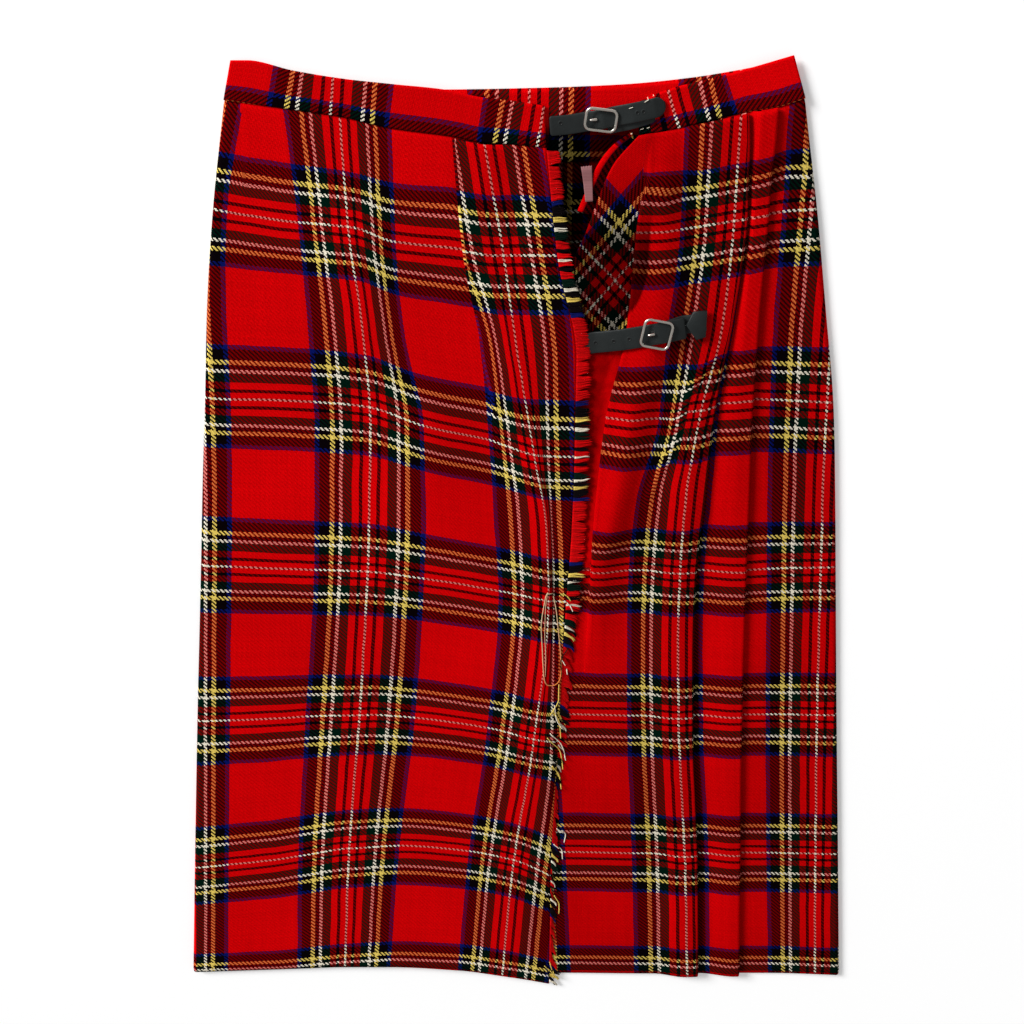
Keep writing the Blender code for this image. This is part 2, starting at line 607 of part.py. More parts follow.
def tab(name, tree, outline, thickness):
    """A flat pointed leather tab laid on what is under it."""
    corners = np.array([outline[key] for key in ("tip", "top", "end_top", "end_low", "low")], float)
    under = 0.0
    for share in np.linspace(0, 1, 7):
        for corner in corners:
            spot = corners.mean(axis=0) * (1 - share) + corner * share
            under = max(under, ground_height(tree, *spot))
    count = len(corners)
    low = np.column_stack([corners, np.full(count, under + GAP)])
    high = np.column_stack([corners, np.full(count, under + GAP + thickness)])
    return ring_tube(name, np.stack([high, low]), "leather", False)


def fringe(name, cloth_edge, cloth_setts, setts):
    """The fringe of the raw edge: a narrow strip beside the cloth, with each lock drawn out of it."""
    edge = np.stack([np.interp(setts, cloth_setts, line) for line in cloth_edge.T], axis=1)
    droop = np.radians(np.interp(setts, *np.array(LOCK_DROOP).T))
    out = np.stack([np.cos(droop), np.sin(droop), np.zeros(len(setts))], axis=1)
    away = 2 * GAP
    inner = edge + np.array([away, 0, 0])
    outer = edge + np.array([away + FRINGE_STRIP, 0, 0])
    up = np.array([0, 0, FRINGE_THICK / 2])
    rings = np.stack([inner + up, outer + up, outer - up, inner - up], axis=1)
    points = list(rings.reshape(-1, 3))
    faces = [(0, 1, 2, 3)]
    last = len(setts) - 1
    for cell in range(last):
        here, there = cell * 4, cell * 4 + 4
        for side in (0, 2, 3):
            beside = (side + 1) % 4
            faces.append((here + side, there + side, there + beside, here + beside))
        if cell % 2:
            faces.append((here + 1, there + 1, there + 2, here + 2))
            continue
        base = [here + 1, there + 1, there + 2, here + 2]
        reach = LOCK_LENGTH * (0.85 + 0.03 * ((cell * 7) % 10))
        way = out[cell] * reach
        middle = [points[index] + way * 0.5 for index in base]
        centre = sum(points[index] for index in base) / 4 + way
        tip = [centre + (points[index] + way - centre) * LOCK_TAPER for index in base]
        first = len(points)
        points.extend(middle)
        points.extend(tip)
        for side in range(4):
            beside = (side + 1) % 4
            faces.append((base[side], base[beside], first + beside, first + side))
            faces.append((first + side, first + beside, first + 4 + beside, first + 4 + side))
        faces.append((first + 4, first + 5, first + 6, first + 7))
    end = last * 4
    faces.append((end + 3, end + 2, end + 1, end))
    return add_object(name, np.array(points), faces, "fringe")


def build():
    """Make every piece, from the floor up, each laid on those before it."""
    for old in list(bpy.data.objects):
        bpy.data.objects.remove(old, do_unlink=True)
    back = wall("back_panel", back_grid(13), CLOTH, "tartan")
    back_band = wall("back_waistband", band_grid(BACK_BAND_TOP, BACK_BAND_SEAM, FLOOR_LAYER, 13, 2), CLOTH, "tartan")
    facing = wall("waist_facing", band_grid(FACING_TOP, FACING_RAW, UNDER_LAYER, 9, 2), CLOTH, "tartan")
    hip = wall("hip_panel", hip_grid(HIP_ROWS), CLOTH, "tartan")
    apron_middle = apron_grid(APRON_ROWS)
    apron = wall("over_apron", apron_middle, CLOTH, "tartan")
    band_height = UNDER_LAYER + CLOTH / 2 + GAP + BAND / 2
    seam_gap = np.array([0, GAP + 0.5])
    apron_band = wall("apron_waistband", band_grid(
        APRON_BAND_TOP, np.array(APRON_BAND_SEAM, float) - seam_gap, band_height, 17), BAND, "tartan")
    hip_band = wall("hip_waistband", band_grid(
        HIP_BAND_TOP, np.array(HIP_BAND_SEAM, float) - seam_gap, band_height, 9), BAND, "tartan")
    inner_height = UNDER_LAYER + CLOTH / 2 + GAP + INNER_BAND / 2
    inner_band = wall("inner_waistband", strip_grid(
        INNER_BAND_TOP, INNER_BAND_SEAM, inner_height, 9), INNER_BAND, "tartan")
    fringe("apron_fringe", apron_middle[:, -1], APRON_ROWS, np.linspace(*FRINGE_SETTS, 2 * LOCKS))
    cloth = [back, back_band, facing, hip, apron, apron_band, hip_band, inner_band]
    ribbon = wall("waist_ribbon", strap_grid(
        surface_tree(cloth), RIBBON_ROUTE, RIBBON_WIDTH, RIBBON, 9, columns=3), RIBBON, "ribbon")
    ground = surface_tree(cloth + [ribbon])
    chapes = [
        strap("waist_chape", strap_grid(ground, WAIST_CHAPE, WAIST_CHAPE_WIDTH, LEATHER, 13), LEATHER, False),
        strap("hip_chape", strap_grid(ground, HIP_CHAPE, HIP_CHAPE_WIDTH, LEATHER, 7), LEATHER, False),
    ]
    ground = surface_tree(cloth + chapes + [ribbon])
    straps = [
        strap("waist_strap", strap_grid(ground, WAIST_STRAP, WAIST_WIDTH, LEATHER, 31), LEATHER, True),
        strap("hip_strap", strap_grid(ground, HIP_STRAP, HIP_WIDTH, LEATHER, 17), LEATHER, False),
    ]
    ground = surface_tree(cloth + chapes + straps)
    tab("hip_tab", ground, HIP_TAB, LEATHER)
    ground = surface_tree(straps + chapes)
    buckle("waist_buckle", ground, **WAIST_BUCKLE)
    buckle("hip_buckle", ground, **HIP_BUCKLE)
    prong("waist_prong", ground, *WAIST_PRONG)
    prong("hip_prong", ground, *HIP_PRONG)


build()
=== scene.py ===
# %% [markdown]
# # A tartan kilt skirt, laid flat
#
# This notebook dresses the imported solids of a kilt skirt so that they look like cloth, leather
# and metal. The skirt is a wrap skirt in red wool tartan. It lies on its back on a pale floor,
# fastened by two leather straps, with the raw fringed edge of its over-apron down the middle.
#
# The whole thing rests on one idea: tartan cloth carries its own map. Every thread has a number,
# so each point of cloth gets two coordinates, counted in setts. A sett is one full repeat of the
# pattern, here 128 mm. The first counts threads across the cloth and the second counts them down.
# Fold the cloth, pinch it or turn it, and the pattern follows by itself.

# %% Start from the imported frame
import math

import bpy
import numpy as np
from mathutils import Matrix, Vector
from mathutils.bvhtree import BVHTree


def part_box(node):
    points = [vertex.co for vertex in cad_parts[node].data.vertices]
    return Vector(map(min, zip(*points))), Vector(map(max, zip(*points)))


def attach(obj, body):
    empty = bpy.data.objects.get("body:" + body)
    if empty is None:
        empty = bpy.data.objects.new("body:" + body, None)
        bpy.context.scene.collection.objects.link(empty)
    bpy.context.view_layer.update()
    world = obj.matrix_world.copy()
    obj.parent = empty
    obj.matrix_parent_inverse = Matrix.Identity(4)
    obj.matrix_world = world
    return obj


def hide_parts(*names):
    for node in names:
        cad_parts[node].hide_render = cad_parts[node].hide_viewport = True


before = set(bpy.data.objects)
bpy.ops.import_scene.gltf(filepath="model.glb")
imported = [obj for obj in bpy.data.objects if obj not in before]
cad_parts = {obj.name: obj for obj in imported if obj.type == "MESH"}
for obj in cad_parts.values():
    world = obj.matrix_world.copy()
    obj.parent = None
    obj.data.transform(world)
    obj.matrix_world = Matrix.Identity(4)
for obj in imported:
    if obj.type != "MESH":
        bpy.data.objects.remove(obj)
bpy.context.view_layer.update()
print("nodes in the frame:", len(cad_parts))

# %% [markdown]
# ## Measures
#
# Lengths are in millimetres on the floor. "Across" runs to the right, "down" runs from the waist
# corner to the hem, and heights are those of the middle of the cloth. Each row of a table is one
# weft line, counted in setts down from the waist, and each column is one warp line. They are the
# same tables as those of the solids, so that the cloth here lies exactly where the solids do.

# %% Thicknesses and layers
MM = 0.001
GAP = 0.3                    # between pieces that touch
CLOTH = 1.3                  # thickness of the woollen cloth
BAND = 2.6                   # thickness of a waistband, two layers of cloth
INNER_BAND = 1.8             # thickness of the under-apron's waistband, pressed thinner where it lies inside
LEATHER = 1.8                # thickness of strap leather
RIBBON = 0.6                 # thickness of the satin ribbon
TURN = 1.1                   # radius of a pressed fold, at the middle of the cloth
MIDDLE_ACROSS = -0.5         # middle of the whole outline, in the tables' own measure
MIDDLE_DOWN = 366.0
BACK_HEM = 710.0             # the back's own hem, hidden just inside the front's

LAYER = CLOTH + GAP
FLOOR_LAYER = CLOTH / 2              # middle height of the back
UNDER_LAYER = FLOOR_LAYER + LAYER    # of what lies on the back
TOP_LAYER = UNDER_LAYER + LAYER      # of what lies on that
ROLL = TOP_LAYER - 1.05              # radius with which the front turns down at the sides
print("layers of cloth at", FLOOR_LAYER, UNDER_LAYER, TOP_LAYER, "mm")

# %% [markdown]
# ## The over-apron's weft lines
#
# The over-apron is the left front, the wide flap that lies outermost and ends in a raw fringed
# edge. Its grid could be pushed into shape by eye in the viewport. Here each weft line of the
# tartan is a row of a table instead, because the stripes are what a maker sees and measures, and
# one row can be put right by itself. A tuck takes the cloth in at the waist, and soft folds run
# down from it.

# %% Over-apron table
# Warp lines: side fold, left edge, middle and right edge of the first stripe group,
# the tuck (lower down the left edge of the second group), middle of that group, its white line, raw edge.
APRON_SETTS = (0.44, 1.0, 1.5, 2.0, 2.5, 3.0, 4.0, 5.0, 5.88)
APRON_ACROSS = (
    (-179, -143, -109, -78, -41, -21, -3, 17),
    (-192, -138, -107, -78, -35, -9, 9, 25),
    (-201, -136, -101, -74, -24, 0, 18, 38),
    (-208, -135, -98, -63, -19, 11, 20, 38),
    (-215, -138, -101, -63, -16, 20, 23, 37),
    (-222, -142, -105, -66, -13, 22, 25, 34),
    (-236, -155, -116, -76, -22, 12, 25, 30),
    (-250, -168, -129, -91, -37, -3, 15, 26),
    (-261, -176, -138, -102, -47, -12, 7, 26),
)
APRON_DOWN = (
    (26, 31, 36, 43, 48, 52, 53, 55),
    (96, 102, 103, 115, 123, 126, 126, 126),
    (158, 162, 165, 176, 187, 191, 192, 193),
    (223, 226, 229, 240, 252, 260, 262, 263),
    (284, 288, 290, 298, 309, 317, 318, 319),
    (350, 353, 354, 359, 369, 376, 377, 378),
    (478, 475, 474, 477, 485, 494, 497, 498),
    (612, 601, 595, 595, 600, 608, 618, 626),
    (720, 716, 714, 714, 717, 723, 727, 732),
)
APRON_HEIGHT = (
    (3.9, 3.9, 3.9, 3.9, 3.9, 3.9, 4.2, 4.6),
    (3.9, 4.2, 6.0, 4.6, 3.9, 5.5, 7.5, 7.2),
    (3.9, 4.4, 7.5, 6.5, 4.2, 11.0, 9.0, 7.3),
    (3.9, 4.8, 7.0, 9.0, 4.6, 11.0, 8.5, 7.4),
    (3.9, 5.0, 6.2, 8.0, 5.6, 9.5, 7.2, 7.4),
    (3.9, 4.8, 5.8, 6.5, 6.0, 9.0, 6.6, 6.4),
    (3.9, 4.6, 6.4, 5.2, 5.8, 8.0, 6.8, 4.6),
    (3.9, 4.4, 6.0, 5.2, 6.6, 7.2, 6.0, 4.6),
    (3.9, 4.2, 4.6, 4.6, 5.2, 5.2, 4.8, 4.2),
)
TUCK = 4                                                            # column of the tuck
TUCK_LENGTH = (14.0, 8.5, 0.8, 0.8, 0.8, 0.8, 0.8, 0.8, 0.8)        # cloth laid back under it
TUCK_TURN = (1.0, 1.0, 1.0, 0.2, 0.0, 0.0, 0.0, 0.0, 0.0)           # 1 is folded flat on itself
print("over-apron:", len(APRON_SETTS), "weft lines of", len(APRON_ACROSS[0]), "warp lines")

# %% [markdown]
# ## The hip panel's weft lines
#
# The right front starts as the under-apron, hidden under the over-apron. It is turned back on
# itself beside the opening and laid in two knife pleats that run from the waist to the hem. Pieces
# laid on it for the pleats would leave seams where the real cloth has none. So one table holds
# the whole panel, and each fold says how much cloth lies under it on every line.

# %% Hip panel table
# Warp lines: its hidden end, the fold
# that faces the opening, the ridge beside it, left edge and middle of the third stripe group,
# the two pleat edges, left edge of the fourth group, side fold.
HIP_SETTS = (0.44, 0.6, 0.8, 1.0, 1.5, 2.0, 2.5, 3.0, 4.0, 5.0, 5.91)
HIP_ACROSS = (
    (74, 79, 88, 102, 135, 140, 158, 165, 174),
    (58, 76, 88, 102, 135, 142, 158, 165, 178),
    (49, 75, 90, 102, 135, 143, 157, 166, 183),
    (41, 74, 90, 102, 135, 144, 157, 166, 188),
    (5, 70, 86, 97, 132, 139, 156, 166, 199),
    (-50, 58, 76, 94, 120, 131, 156, 168, 210),
    (-85, 53, 68, 81, 114, 128, 158, 171, 217),
    (-105, 48, 62, 78, 113, 125, 160, 175, 223),
    (-115, 44, 62, 81, 118, 129, 165, 183, 235),
    (-120, 44, 64, 89, 129, 139, 172, 193, 248),
    (-125, 44, 66, 95, 137, 146, 179, 203, 260),
)
HIP_DOWN = (
    (47, 46, 45, 42, 34, 33, 30, 28, 25),
    (66, 64, 62, 60, 54, 53, 50, 48, 46),
    (88, 87, 86, 83, 78, 77, 74, 72, 71),
    (112, 110, 109, 108, 103, 102, 100, 99, 97),
    (176, 174, 173, 172, 168, 167, 163, 162, 161),
    (238, 238, 238, 238, 234, 231, 226, 226, 227),
    (296, 296, 297, 297, 296, 293, 290, 290, 290),
    (354, 354, 354, 354, 354, 354, 354, 353, 351),
    (474, 474, 474, 474, 474, 474, 474, 474, 474),
    (598, 602, 602, 602, 602, 602, 602, 602, 602),
    (706, 722, 722, 722, 722, 722, 722, 722, 723),
)
HIP_HEIGHT = (
    (6.6, 6.4, 5.4, 4.0, 3.9, 3.9, 3.9, 3.9, 3.9),
    (7.4, 6.6, 6.8, 5.4, 3.4, 3.4, 3.4, 3.4, 3.9),
    (7.6, 4.6, 6.4, 5.8, 3.0, 3.0, 3.0, 3.0, 3.9),
    (6.4, 3.4, 5.4, 5.2, 2.6, 2.4, 2.4, 2.6, 3.9),
    (2.3, 2.8, 4.6, 5.0, 2.8, 2.4, 2.4, 2.6, 3.9),
    (2.3, 2.3, 6.4, 4.8, 5.6, 3.2, 2.6, 2.6, 3.9),
    (2.3, 2.3, 6.2, 4.6, 5.6, 3.6, 2.8, 2.8, 3.9),
    (2.3, 2.3, 4.8, 4.2, 5.0, 3.6, 2.8, 2.8, 3.9),
    (2.3, 2.3, 3.2, 3.8, 4.0, 3.0, 2.6, 2.6, 3.9),
    (2.3, 2.3, 2.8, 3.6, 3.6, 2.8, 2.6, 2.6, 3.9),
    (2.3, 2.3, 2.6, 3.0, 3.0, 2.6, 2.4, 2.4, 3.9),
)
OPENING_LENGTH = (0.8, 0.8, 8.0, 14.0, 14.0, 13.0, 8.0, 0.8, 0.8, 0.8, 0.8)
OPENING_TURN = (0.0, 0.3, 0.9, 1.0, 1.0, 1.0, 1.0, 0.7, 0.0, 0.0, 0.0)
FIRST_LENGTH = (14.0, 14.0, 13.0, 12.5, 11.5, 10.5, 10.0, 9.5, 8.5, 8.0, 7.5)
SECOND_LENGTH = (7.0, 7.0, 6.5, 6.0, 6.0, 5.5, 4.5, 4.0, 3.0, 2.0, 1.5)
PRESSED = (1.0,) * len(HIP_SETTS)
FOLD_SLOPE = 26.0            # how far the cloth takes to come down from a fold
FOLD_MARGIN = 3.0            # how far past the cloth laid under it the upper layer stays up
STEP_OFF = 0.4               # from a fold's last point to the next point of the open cloth
SPREAD = 0.8                 # spacing of a fold's points where it has opened out
print("hip panel:", len(HIP_SETTS), "weft lines of", len(HIP_ACROSS[0]), "warp lines")

# %% [markdown]
# ## Edges of the bands, straps and buckles
#
# Waistbands are narrow folded strips and straps are cut from flat leather, so a few places along an
# edge or a middle line are all that each needs. A buckle is given by its middle, its size and its
# turn. The short strap that is looped through the back of a buckle is called its chape.

# %% Bands, straps and buckles
# Edges of the waistbands: (across, down) along the top edge and along the seam.
APRON_BAND_TOP = (
    (-173, 3), (-163, 3), (-136, 9), (-105, 14), (-77, 17), (-47, 20), (-22, 25), (-4, 27), (16, 30))
HIP_BAND_TOP = ((72, 28), (91, 20), (115, 14), (134, 9), (165, 0))
BACK_BAND_TOP = ((-169, 8), (-105, 17), (-47, 21), (13, 20), (62, 18), (104, 14), (162, 4))
BACK_BAND_SEAM = ((-173, 30), (-105, 40), (-47, 45), (13, 46), (62, 44), (104, 38), (168, 27))
FACING_TOP = ((-110, 19), (-47, 22), (13, 21), (62, 19), (104, 15))
FACING_RAW = ((-110, 62), (-47, 64), (13, 65), (48, 64), (104, 56))
INNER_BAND_TOP = ((69, 46), (58, 54), (49, 66), (43, 80), (37, 95))
INNER_BAND_SEAM = ((76, 56), (72, 63), (66, 74), (60, 87), (54, 101))

# Straps: (across, down) along the middle line, and the buckles on them.
WAIST_WIDTH = 12.0           # of the upper strap
HIP_WIDTH = 14.5             # of the lower strap
WAIST_CHAPE_WIDTH = 11.0     # of the short strap that holds the upper buckle
HIP_CHAPE_WIDTH = 12.5
WAIST_STRAP = ((19, 42.4), (30, 41.4), (42, 39.4), (54, 36.8), (66, 34), (78, 31.4), (89, 28.6))
HIP_STRAP = ((40, 184), (52, 182), (66, 179), (80, 176), (96, 172), (108, 170))
WAIST_BUCKLE = {"at": (50, 37.6), "size": (20.5, 15), "turn": 7, "tip": 5}
HIP_BUCKLE = {"at": (89, 173), "size": (20, 20), "turn": 11, "tip": 0}
WAIST_CHAPE = ((54, 42), (64, 39.6), (82, 33.8))
HIP_CHAPE = ((92, 173), (106, 169), (121, 167))
HIP_TAB = {
    "tip": (108, 168), "top": (112, 159), "end_top": (121, 158), "end_low": (121, 176), "low": (115, 178)}
WAIST_PRONG = ((48, 37.4), (43, 38))
HIP_PRONG = ((88, 173), (83, 174))
RIBBON_ROUTE = ((42, 67), (43, 76), (44, 88))
RIBBON_WIDTH = 8.0

BUCKLE_CORNER = 3.5
PRONG_RADIUS = 1.0
PROBE_MARGIN = 0.4           # how far beside and along a strap the things under it count
PROBE_REACH = 2.0
STRAP_FALL = 0.3             # how fast a stiff strap comes down again, in mm for each mm of its length
print("straps:", WAIST_WIDTH, "and", HIP_WIDTH, "mm wide")

# %% [markdown]
# ## Where the pattern runs
#
# These tables say which thread lies where. For each weft line of the tables above they give the
# sett count of the warp lines. Two numbers at one fold mean that the cloth between them is tucked
# away under it, which is why a stripe group can lose part of its width at the waist. An image of
# the pattern could be laid on the cloth instead, but it would stretch with every fold.

# %% Sett counts along the weft lines
SETT = 128.0                 # one repeat of the tartan
THREADS = 160                # threads in one repeat
SCENE_ROWS = 230

# Over-apron: place of the first stripe group's right edge, and the sett counts on each side of the tuck.
EDGE_GROUP_ACROSS = (-167, -183, -188.6, -191.2, -195, -200.5, -212, -223.5, -233)
TUCK_LOW_SETT = (1.58, 1.626, 1.71, 1.71, 1.71, 1.71, 1.71, 1.71, 1.71)
TUCK_HIGH_SETT = (1.834, 1.792, 1.71, 1.71, 1.71, 1.71, 1.71, 1.71, 1.71)
EDGE_SETT = 0.29
WHITE_LINE = 0.153           # from the middle of a stripe group to its white line

# The small dart at the left of the over-apron: row, place across, setts that it takes away.
DART = ((0.44, -168, 0.225), (0.6, -168, 0.146), (0.75, -169, 0.108), (0.9, -170, 0.0), (6.0, -170, 0.0))
DART_FADE = 25.0

# Hip panel: sett count where the cloth comes back from under the first pleat.
FIRST_BACK_SETT = (4.30, 4.30, 4.295, 4.29, 4.28, 4.27, 4.26, 4.25, 4.235, 4.225, 4.22)
THIRD_GROUP = 3.71           # left edge of the third stripe group, its middle, the fourth's left edge
THIRD_MIDDLE = 4.0
FOURTH_GROUP = 4.71

# The turned cloth beside the opening: a crossing of white lines, and one sett along each thread from it.
TURNED_AT = (63.0, 110.0)
TURNED_SETT = (2.842, 0.842)
TURNED_WARP = (82.0, 88.0)
TURNED_WEFT = (-88.0, 107.0)

# Below the lower strap the turned cloth is plain red: its sett counts, and where that starts.
BELOW_STRAP = 181.0
OPENING_END = 350.0
PLAIN_SETT = (3.5, 2.5)
# The line along which the front comes out of the opening, below the lower strap: (across, down).
OPENING_EDGE = (
    (66, 165), (62, 189), (59, 210), (57, 229), (55.5, 252), (54, 276), (50.5, 305), (48, 335), (44, 365))
# The slanting crease on the hip panel, its height, and half the step of the weft across it.
CREASE = ((127, 191), (120, 203), (113, 214), (108, 232), (104, 254), (94, 280), (89, 295))
CREASE_RIDGE = 1.3
CREASE_STEP = 3.5

# How many mm the weft is pulled up from its drafted lines: a weft line, then one pull for each place across.
APRON_NUDGE = {"across": (-188, -105, -46), "rows": (
    (1.0, 1.8, -2.0, 3.0), (2.0, 1.6, 2.4, 0.4), (3.0, 2.4, 2.8, 2.6),
    (4.0, 0.2, 4.0, 3.0), (5.0, -2.2, 3.2, 4.8))}
HIP_NUDGE = {"across": (74, 86, 112, 167, 230), "rows": (
    (0.6, 3, 3, 0, 3, 2), (0.71, 9, 8, 1.5, 4, 3), (0.8, 5, 4, 1, 4, 3), (1.0, 2, 2, 2, 3, 3),
    (1.29, 2, 1, 2, 4, 4), (1.71, 3, 4, 3.5, 2.5, 2.5), (2.0, 4, 5, 4, 2.5, 2), (2.29, 2, 2.5, 2.3, 2, 2),
    (3.0, 3, 3.5, 3.2, 2.5, 2), (4.0, 1.2, 1.2, 1.3, 1.5, 1.5), (5.0, 2.2, 2.2, 2.1, 2, 1.5))}
print("one sett is", SETT, "mm and", THREADS, "threads")

# %% [markdown]
# ## Surfaces from tables
#
# A piece of cloth is a grid of points, one row for each weft line. The rows come from the tables
# by a curve that never swings past its own keys. Every row is then laid out from left to right:
# the turn at the side, open cloth, a fold, open cloth again. All rows are worked out together.

# %% Smooth curves
def smooth(keys, values, at):
    """Smooth curve through the values at the keys, along the first axis, with no overshoot.

    Each stretch is a cubic whose slope at a key is the harmonic mean of the two chords there,
    or zero where they turn.
    """
    keys = np.asarray(keys, float)
    values = np.asarray(values, float)
    at = np.clip(np.asarray(at, float), keys[0], keys[-1])
    step = np.diff(keys)
    step = step.reshape(step.shape + (1,) * (values.ndim - 1))
    chord = np.diff(values, axis=0) / step
    slope = np.concatenate([chord[:1], np.zeros_like(chord[1:]), chord[-1:]])
    before, after = chord[:-1], chord[1:]
    same = before * after > 0
    total = np.where(same, before + after, 1.0)
    slope[1:-1] = np.where(same, 2 * before * after / total, 0.0)
    cell = np.clip(np.searchsorted(keys, at, side="right") - 1, 0, len(keys) - 2)
    part = (at - keys[cell]) / (keys[cell + 1] - keys[cell])
    part = part.reshape(part.shape + (1,) * (values.ndim - 1))
    rise = part * part * (3 - 2 * part)
    lead = part * (1 - part) ** 2 * step[cell] * slope[cell]
    trail = part * part * (part - 1) * step[cell] * slope[cell + 1]
    return values[cell] + (values[cell + 1] - values[cell]) * rise + lead + trail


def across_rows(knots, values, at):
    """The same curve along every row at once: each row has its own knots, values and places."""
    width = np.diff(knots, axis=1)
    chord = np.diff(values, axis=1) / width
    slope = np.concatenate([chord[:, :1], np.zeros_like(chord[:, 1:]), chord[:, -1:]], axis=1)
    before, after = chord[:, :-1], chord[:, 1:]
    same = before * after > 0
    total = np.where(same, before + after, 1.0)
    slope[:, 1:-1] = np.where(same, 2 * before * after / total, 0.0)
    cell = (at[:, :, None] >= knots[:, None, 1:-1]).sum(axis=2)

    def pick(table, index):
        return np.take_along_axis(table, index, axis=1)

    span = pick(width, cell)
    part = np.clip((at - pick(knots, cell)) / span, 0.0, 1.0)
    start, end = pick(values, cell), pick(values, cell + 1)
    rise = part * part * (3 - 2 * part)
    lead = part * (1 - part) ** 2 * span * pick(slope, cell)
    trail = part * part * (part - 1) * span * pick(slope, cell + 1)
    return start + (end - start) * rise + lead + trail


def line_rows(knots, values, at):
    """Straight lines between the knots of every row."""
    cell = (at[:, :, None] >= knots[:, None, 1:-1]).sum(axis=2)
    start = np.take_along_axis(knots, cell, axis=1)
    end = np.take_along_axis(knots, cell + 1, axis=1)
    low = np.take_along_axis(values, cell, axis=1)
    high = np.take_along_axis(values, cell + 1, axis=1)
    return low + (high - low) * np.clip((at - start) / (end - start), 0.0, 1.0)


def places(knots, parts):
    """Places along every row: each stretch between two knots is cut in equal parts."""
    knots = np.stack(knots, axis=1)
    last = knots.shape[1] - 1
    at = np.concatenate([index + np.arange(count) / count for index, count in enumerate(parts)] + [[last]])
    cell = np.minimum(at.astype(int), last - 1)
    return knots[:, cell] + (knots[:, cell + 1] - knots[:, cell]) * (at - cell)


def ramp(value):
    """Soft step from 0 to 1."""
    value = np.clip(value, 0.0, 1.0)
    return value * value * (3 - 2 * value)


def across_at(line, d):
    """How far across a line lies at each level d, where the line is a list of (across, down) places."""
    across, down = np.array(line, float).T
    return smooth(down, across, d.ravel()).reshape(d.shape)


print("a soft step, a quarter of the way up:", ramp(0.25))

# %% [markdown]
# ## Folds
#
# A knife pleat or a tuck is cloth laid back on itself, with a small round turn at each end, as an
# iron leaves it. Two sheets that pass through each other would look the same from above, but not
# from the side. So the profile is one line: a turn, a flat run, and a turn back. Where the fold has
# opened further down, its turn is less than half a circle and the run rises as a soft ridge.

# %% Folds and the turned side
def fold_profile(length, turn, steps=7):
    """A fold seen end on, for every row: across and up from its lower layer to its upper one."""
    angle = math.pi * turn[:, None]
    sweep = angle * np.linspace(0, 1, steps)
    first = TURN * np.stack([np.sin(sweep), 1 - np.cos(sweep)], axis=2)
    run = length[:, None] * np.concatenate([np.cos(angle), np.sin(angle)], axis=1)
    centre = first[:, -1] + run + TURN * np.concatenate([np.sin(angle), -np.cos(angle)], axis=1)
    back = sweep[:, ::-1]
    second = centre[:, None] + TURN * np.stack([-np.sin(back), np.cos(back)], axis=2)
    profile = np.concatenate([first, second], axis=1)
    spread = SPREAD * np.linspace(0, 7, 2 * steps)
    profile[:, :, 0] += (1 - turn)[:, None] * spread
    return profile


def side_roll(edge, height, facing, steps=9):
    """Across and up of the turned side of the laid skirt, from just off the floor to the flat front."""
    sweep = np.linspace(0.0, math.pi / 2, steps)
    across = CLOTH / 2 + ROLL * (1 - np.cos(sweep))
    across = np.concatenate([[CLOTH / 2], across])
    up = height[:, None] - ROLL * (1 - np.sin(sweep))
    up = np.concatenate([np.full((len(height), 1), GAP), up], axis=1)
    return edge[:, None] - facing * across, up


def row_lengths(across, up):
    """Distance along each row, in mm."""
    step = np.hypot(np.diff(across, axis=1), np.diff(up, axis=1))
    return np.concatenate([np.zeros((len(across), 1)), np.cumsum(step, axis=1)], axis=1)


tall = fold_profile(np.array([10.0]), np.array([1.0]))[0, -1, 1]
print("a pressed fold lifts the cloth on it by", round(tall, 1), "mm")

# %% [markdown]
# ## Small pulls and creases
#
# Cloth that has been worn and pressed is never quite square: the weft sags between folds, and a
# slanting crease crosses the hip panel. Noise would be uneven in the wrong places, so each pull and
# crease is put where it is, as a few places joined by a smooth field.

# %% Pulls and creases
def nudge(table, x, setts):
    """How far the weft is pulled up from its drafted line, in setts: a smooth field from a small table.

    Each row of the table holds a weft line, then the pull in mm at the two or three places across.
    """
    lines = np.array([row[0] for row in table["rows"]])
    pulls = smooth(lines, np.array([row[1:] for row in table["rows"]]), setts)
    knots = np.broadcast_to(np.array(table["across"], float), pulls.shape)
    return line_rows(knots, pulls, x) / SETT


def opening_edge(x, d, z, s, t):
    """The fold's lower end: right of a line the cloth steps up, and left of it the ground is plain red."""
    line = across_at(OPENING_EDGE, d)
    reach = ramp((d - 285) / 20) * ramp((375 - d) / 30)
    z = z + reach * 1.3 * ramp((x - line) / 1.6 + 0.5) * ramp((line + 22 - x) / 22)
    plain = (x < line) & (d > BELOW_STRAP) & (d < OPENING_END)
    return z, np.where(plain, PLAIN_SETT[0], s), np.where(plain, PLAIN_SETT[1], t)


def crease(x, d, z, t):
    """A slanting crease on the hip panel: a low ridge, with the weft a step higher on its right."""
    line = across_at(CREASE, d)
    off = x - line
    reach = ramp((d - CREASE[0][1] + 12) / 16) * ramp((CREASE[-1][1] + 14 - d) / 22)
    z = z + CREASE_RIDGE * reach * np.exp(-(off / 2.2) ** 2)
    return z, t + CREASE_STEP / SETT * reach * np.tanh(off / 3.0) * np.exp(-np.abs(off) / 25.0)


lowest = across_at(CREASE, np.array([CREASE[-1][1]]))[0]
print("the crease runs down to", round(float(lowest)), "mm across")

# %% [markdown]
# ## The over-apron
#
# One sheet of cloth: it turns down at the left side, crosses the front, is tucked once, and stops
# at the raw edge. All its weft lines are worked out at once as arrays, and each point keeps its sett
# counts beside its place. The tuck is the only spot where the count jumps, by the cloth that it
# hides.

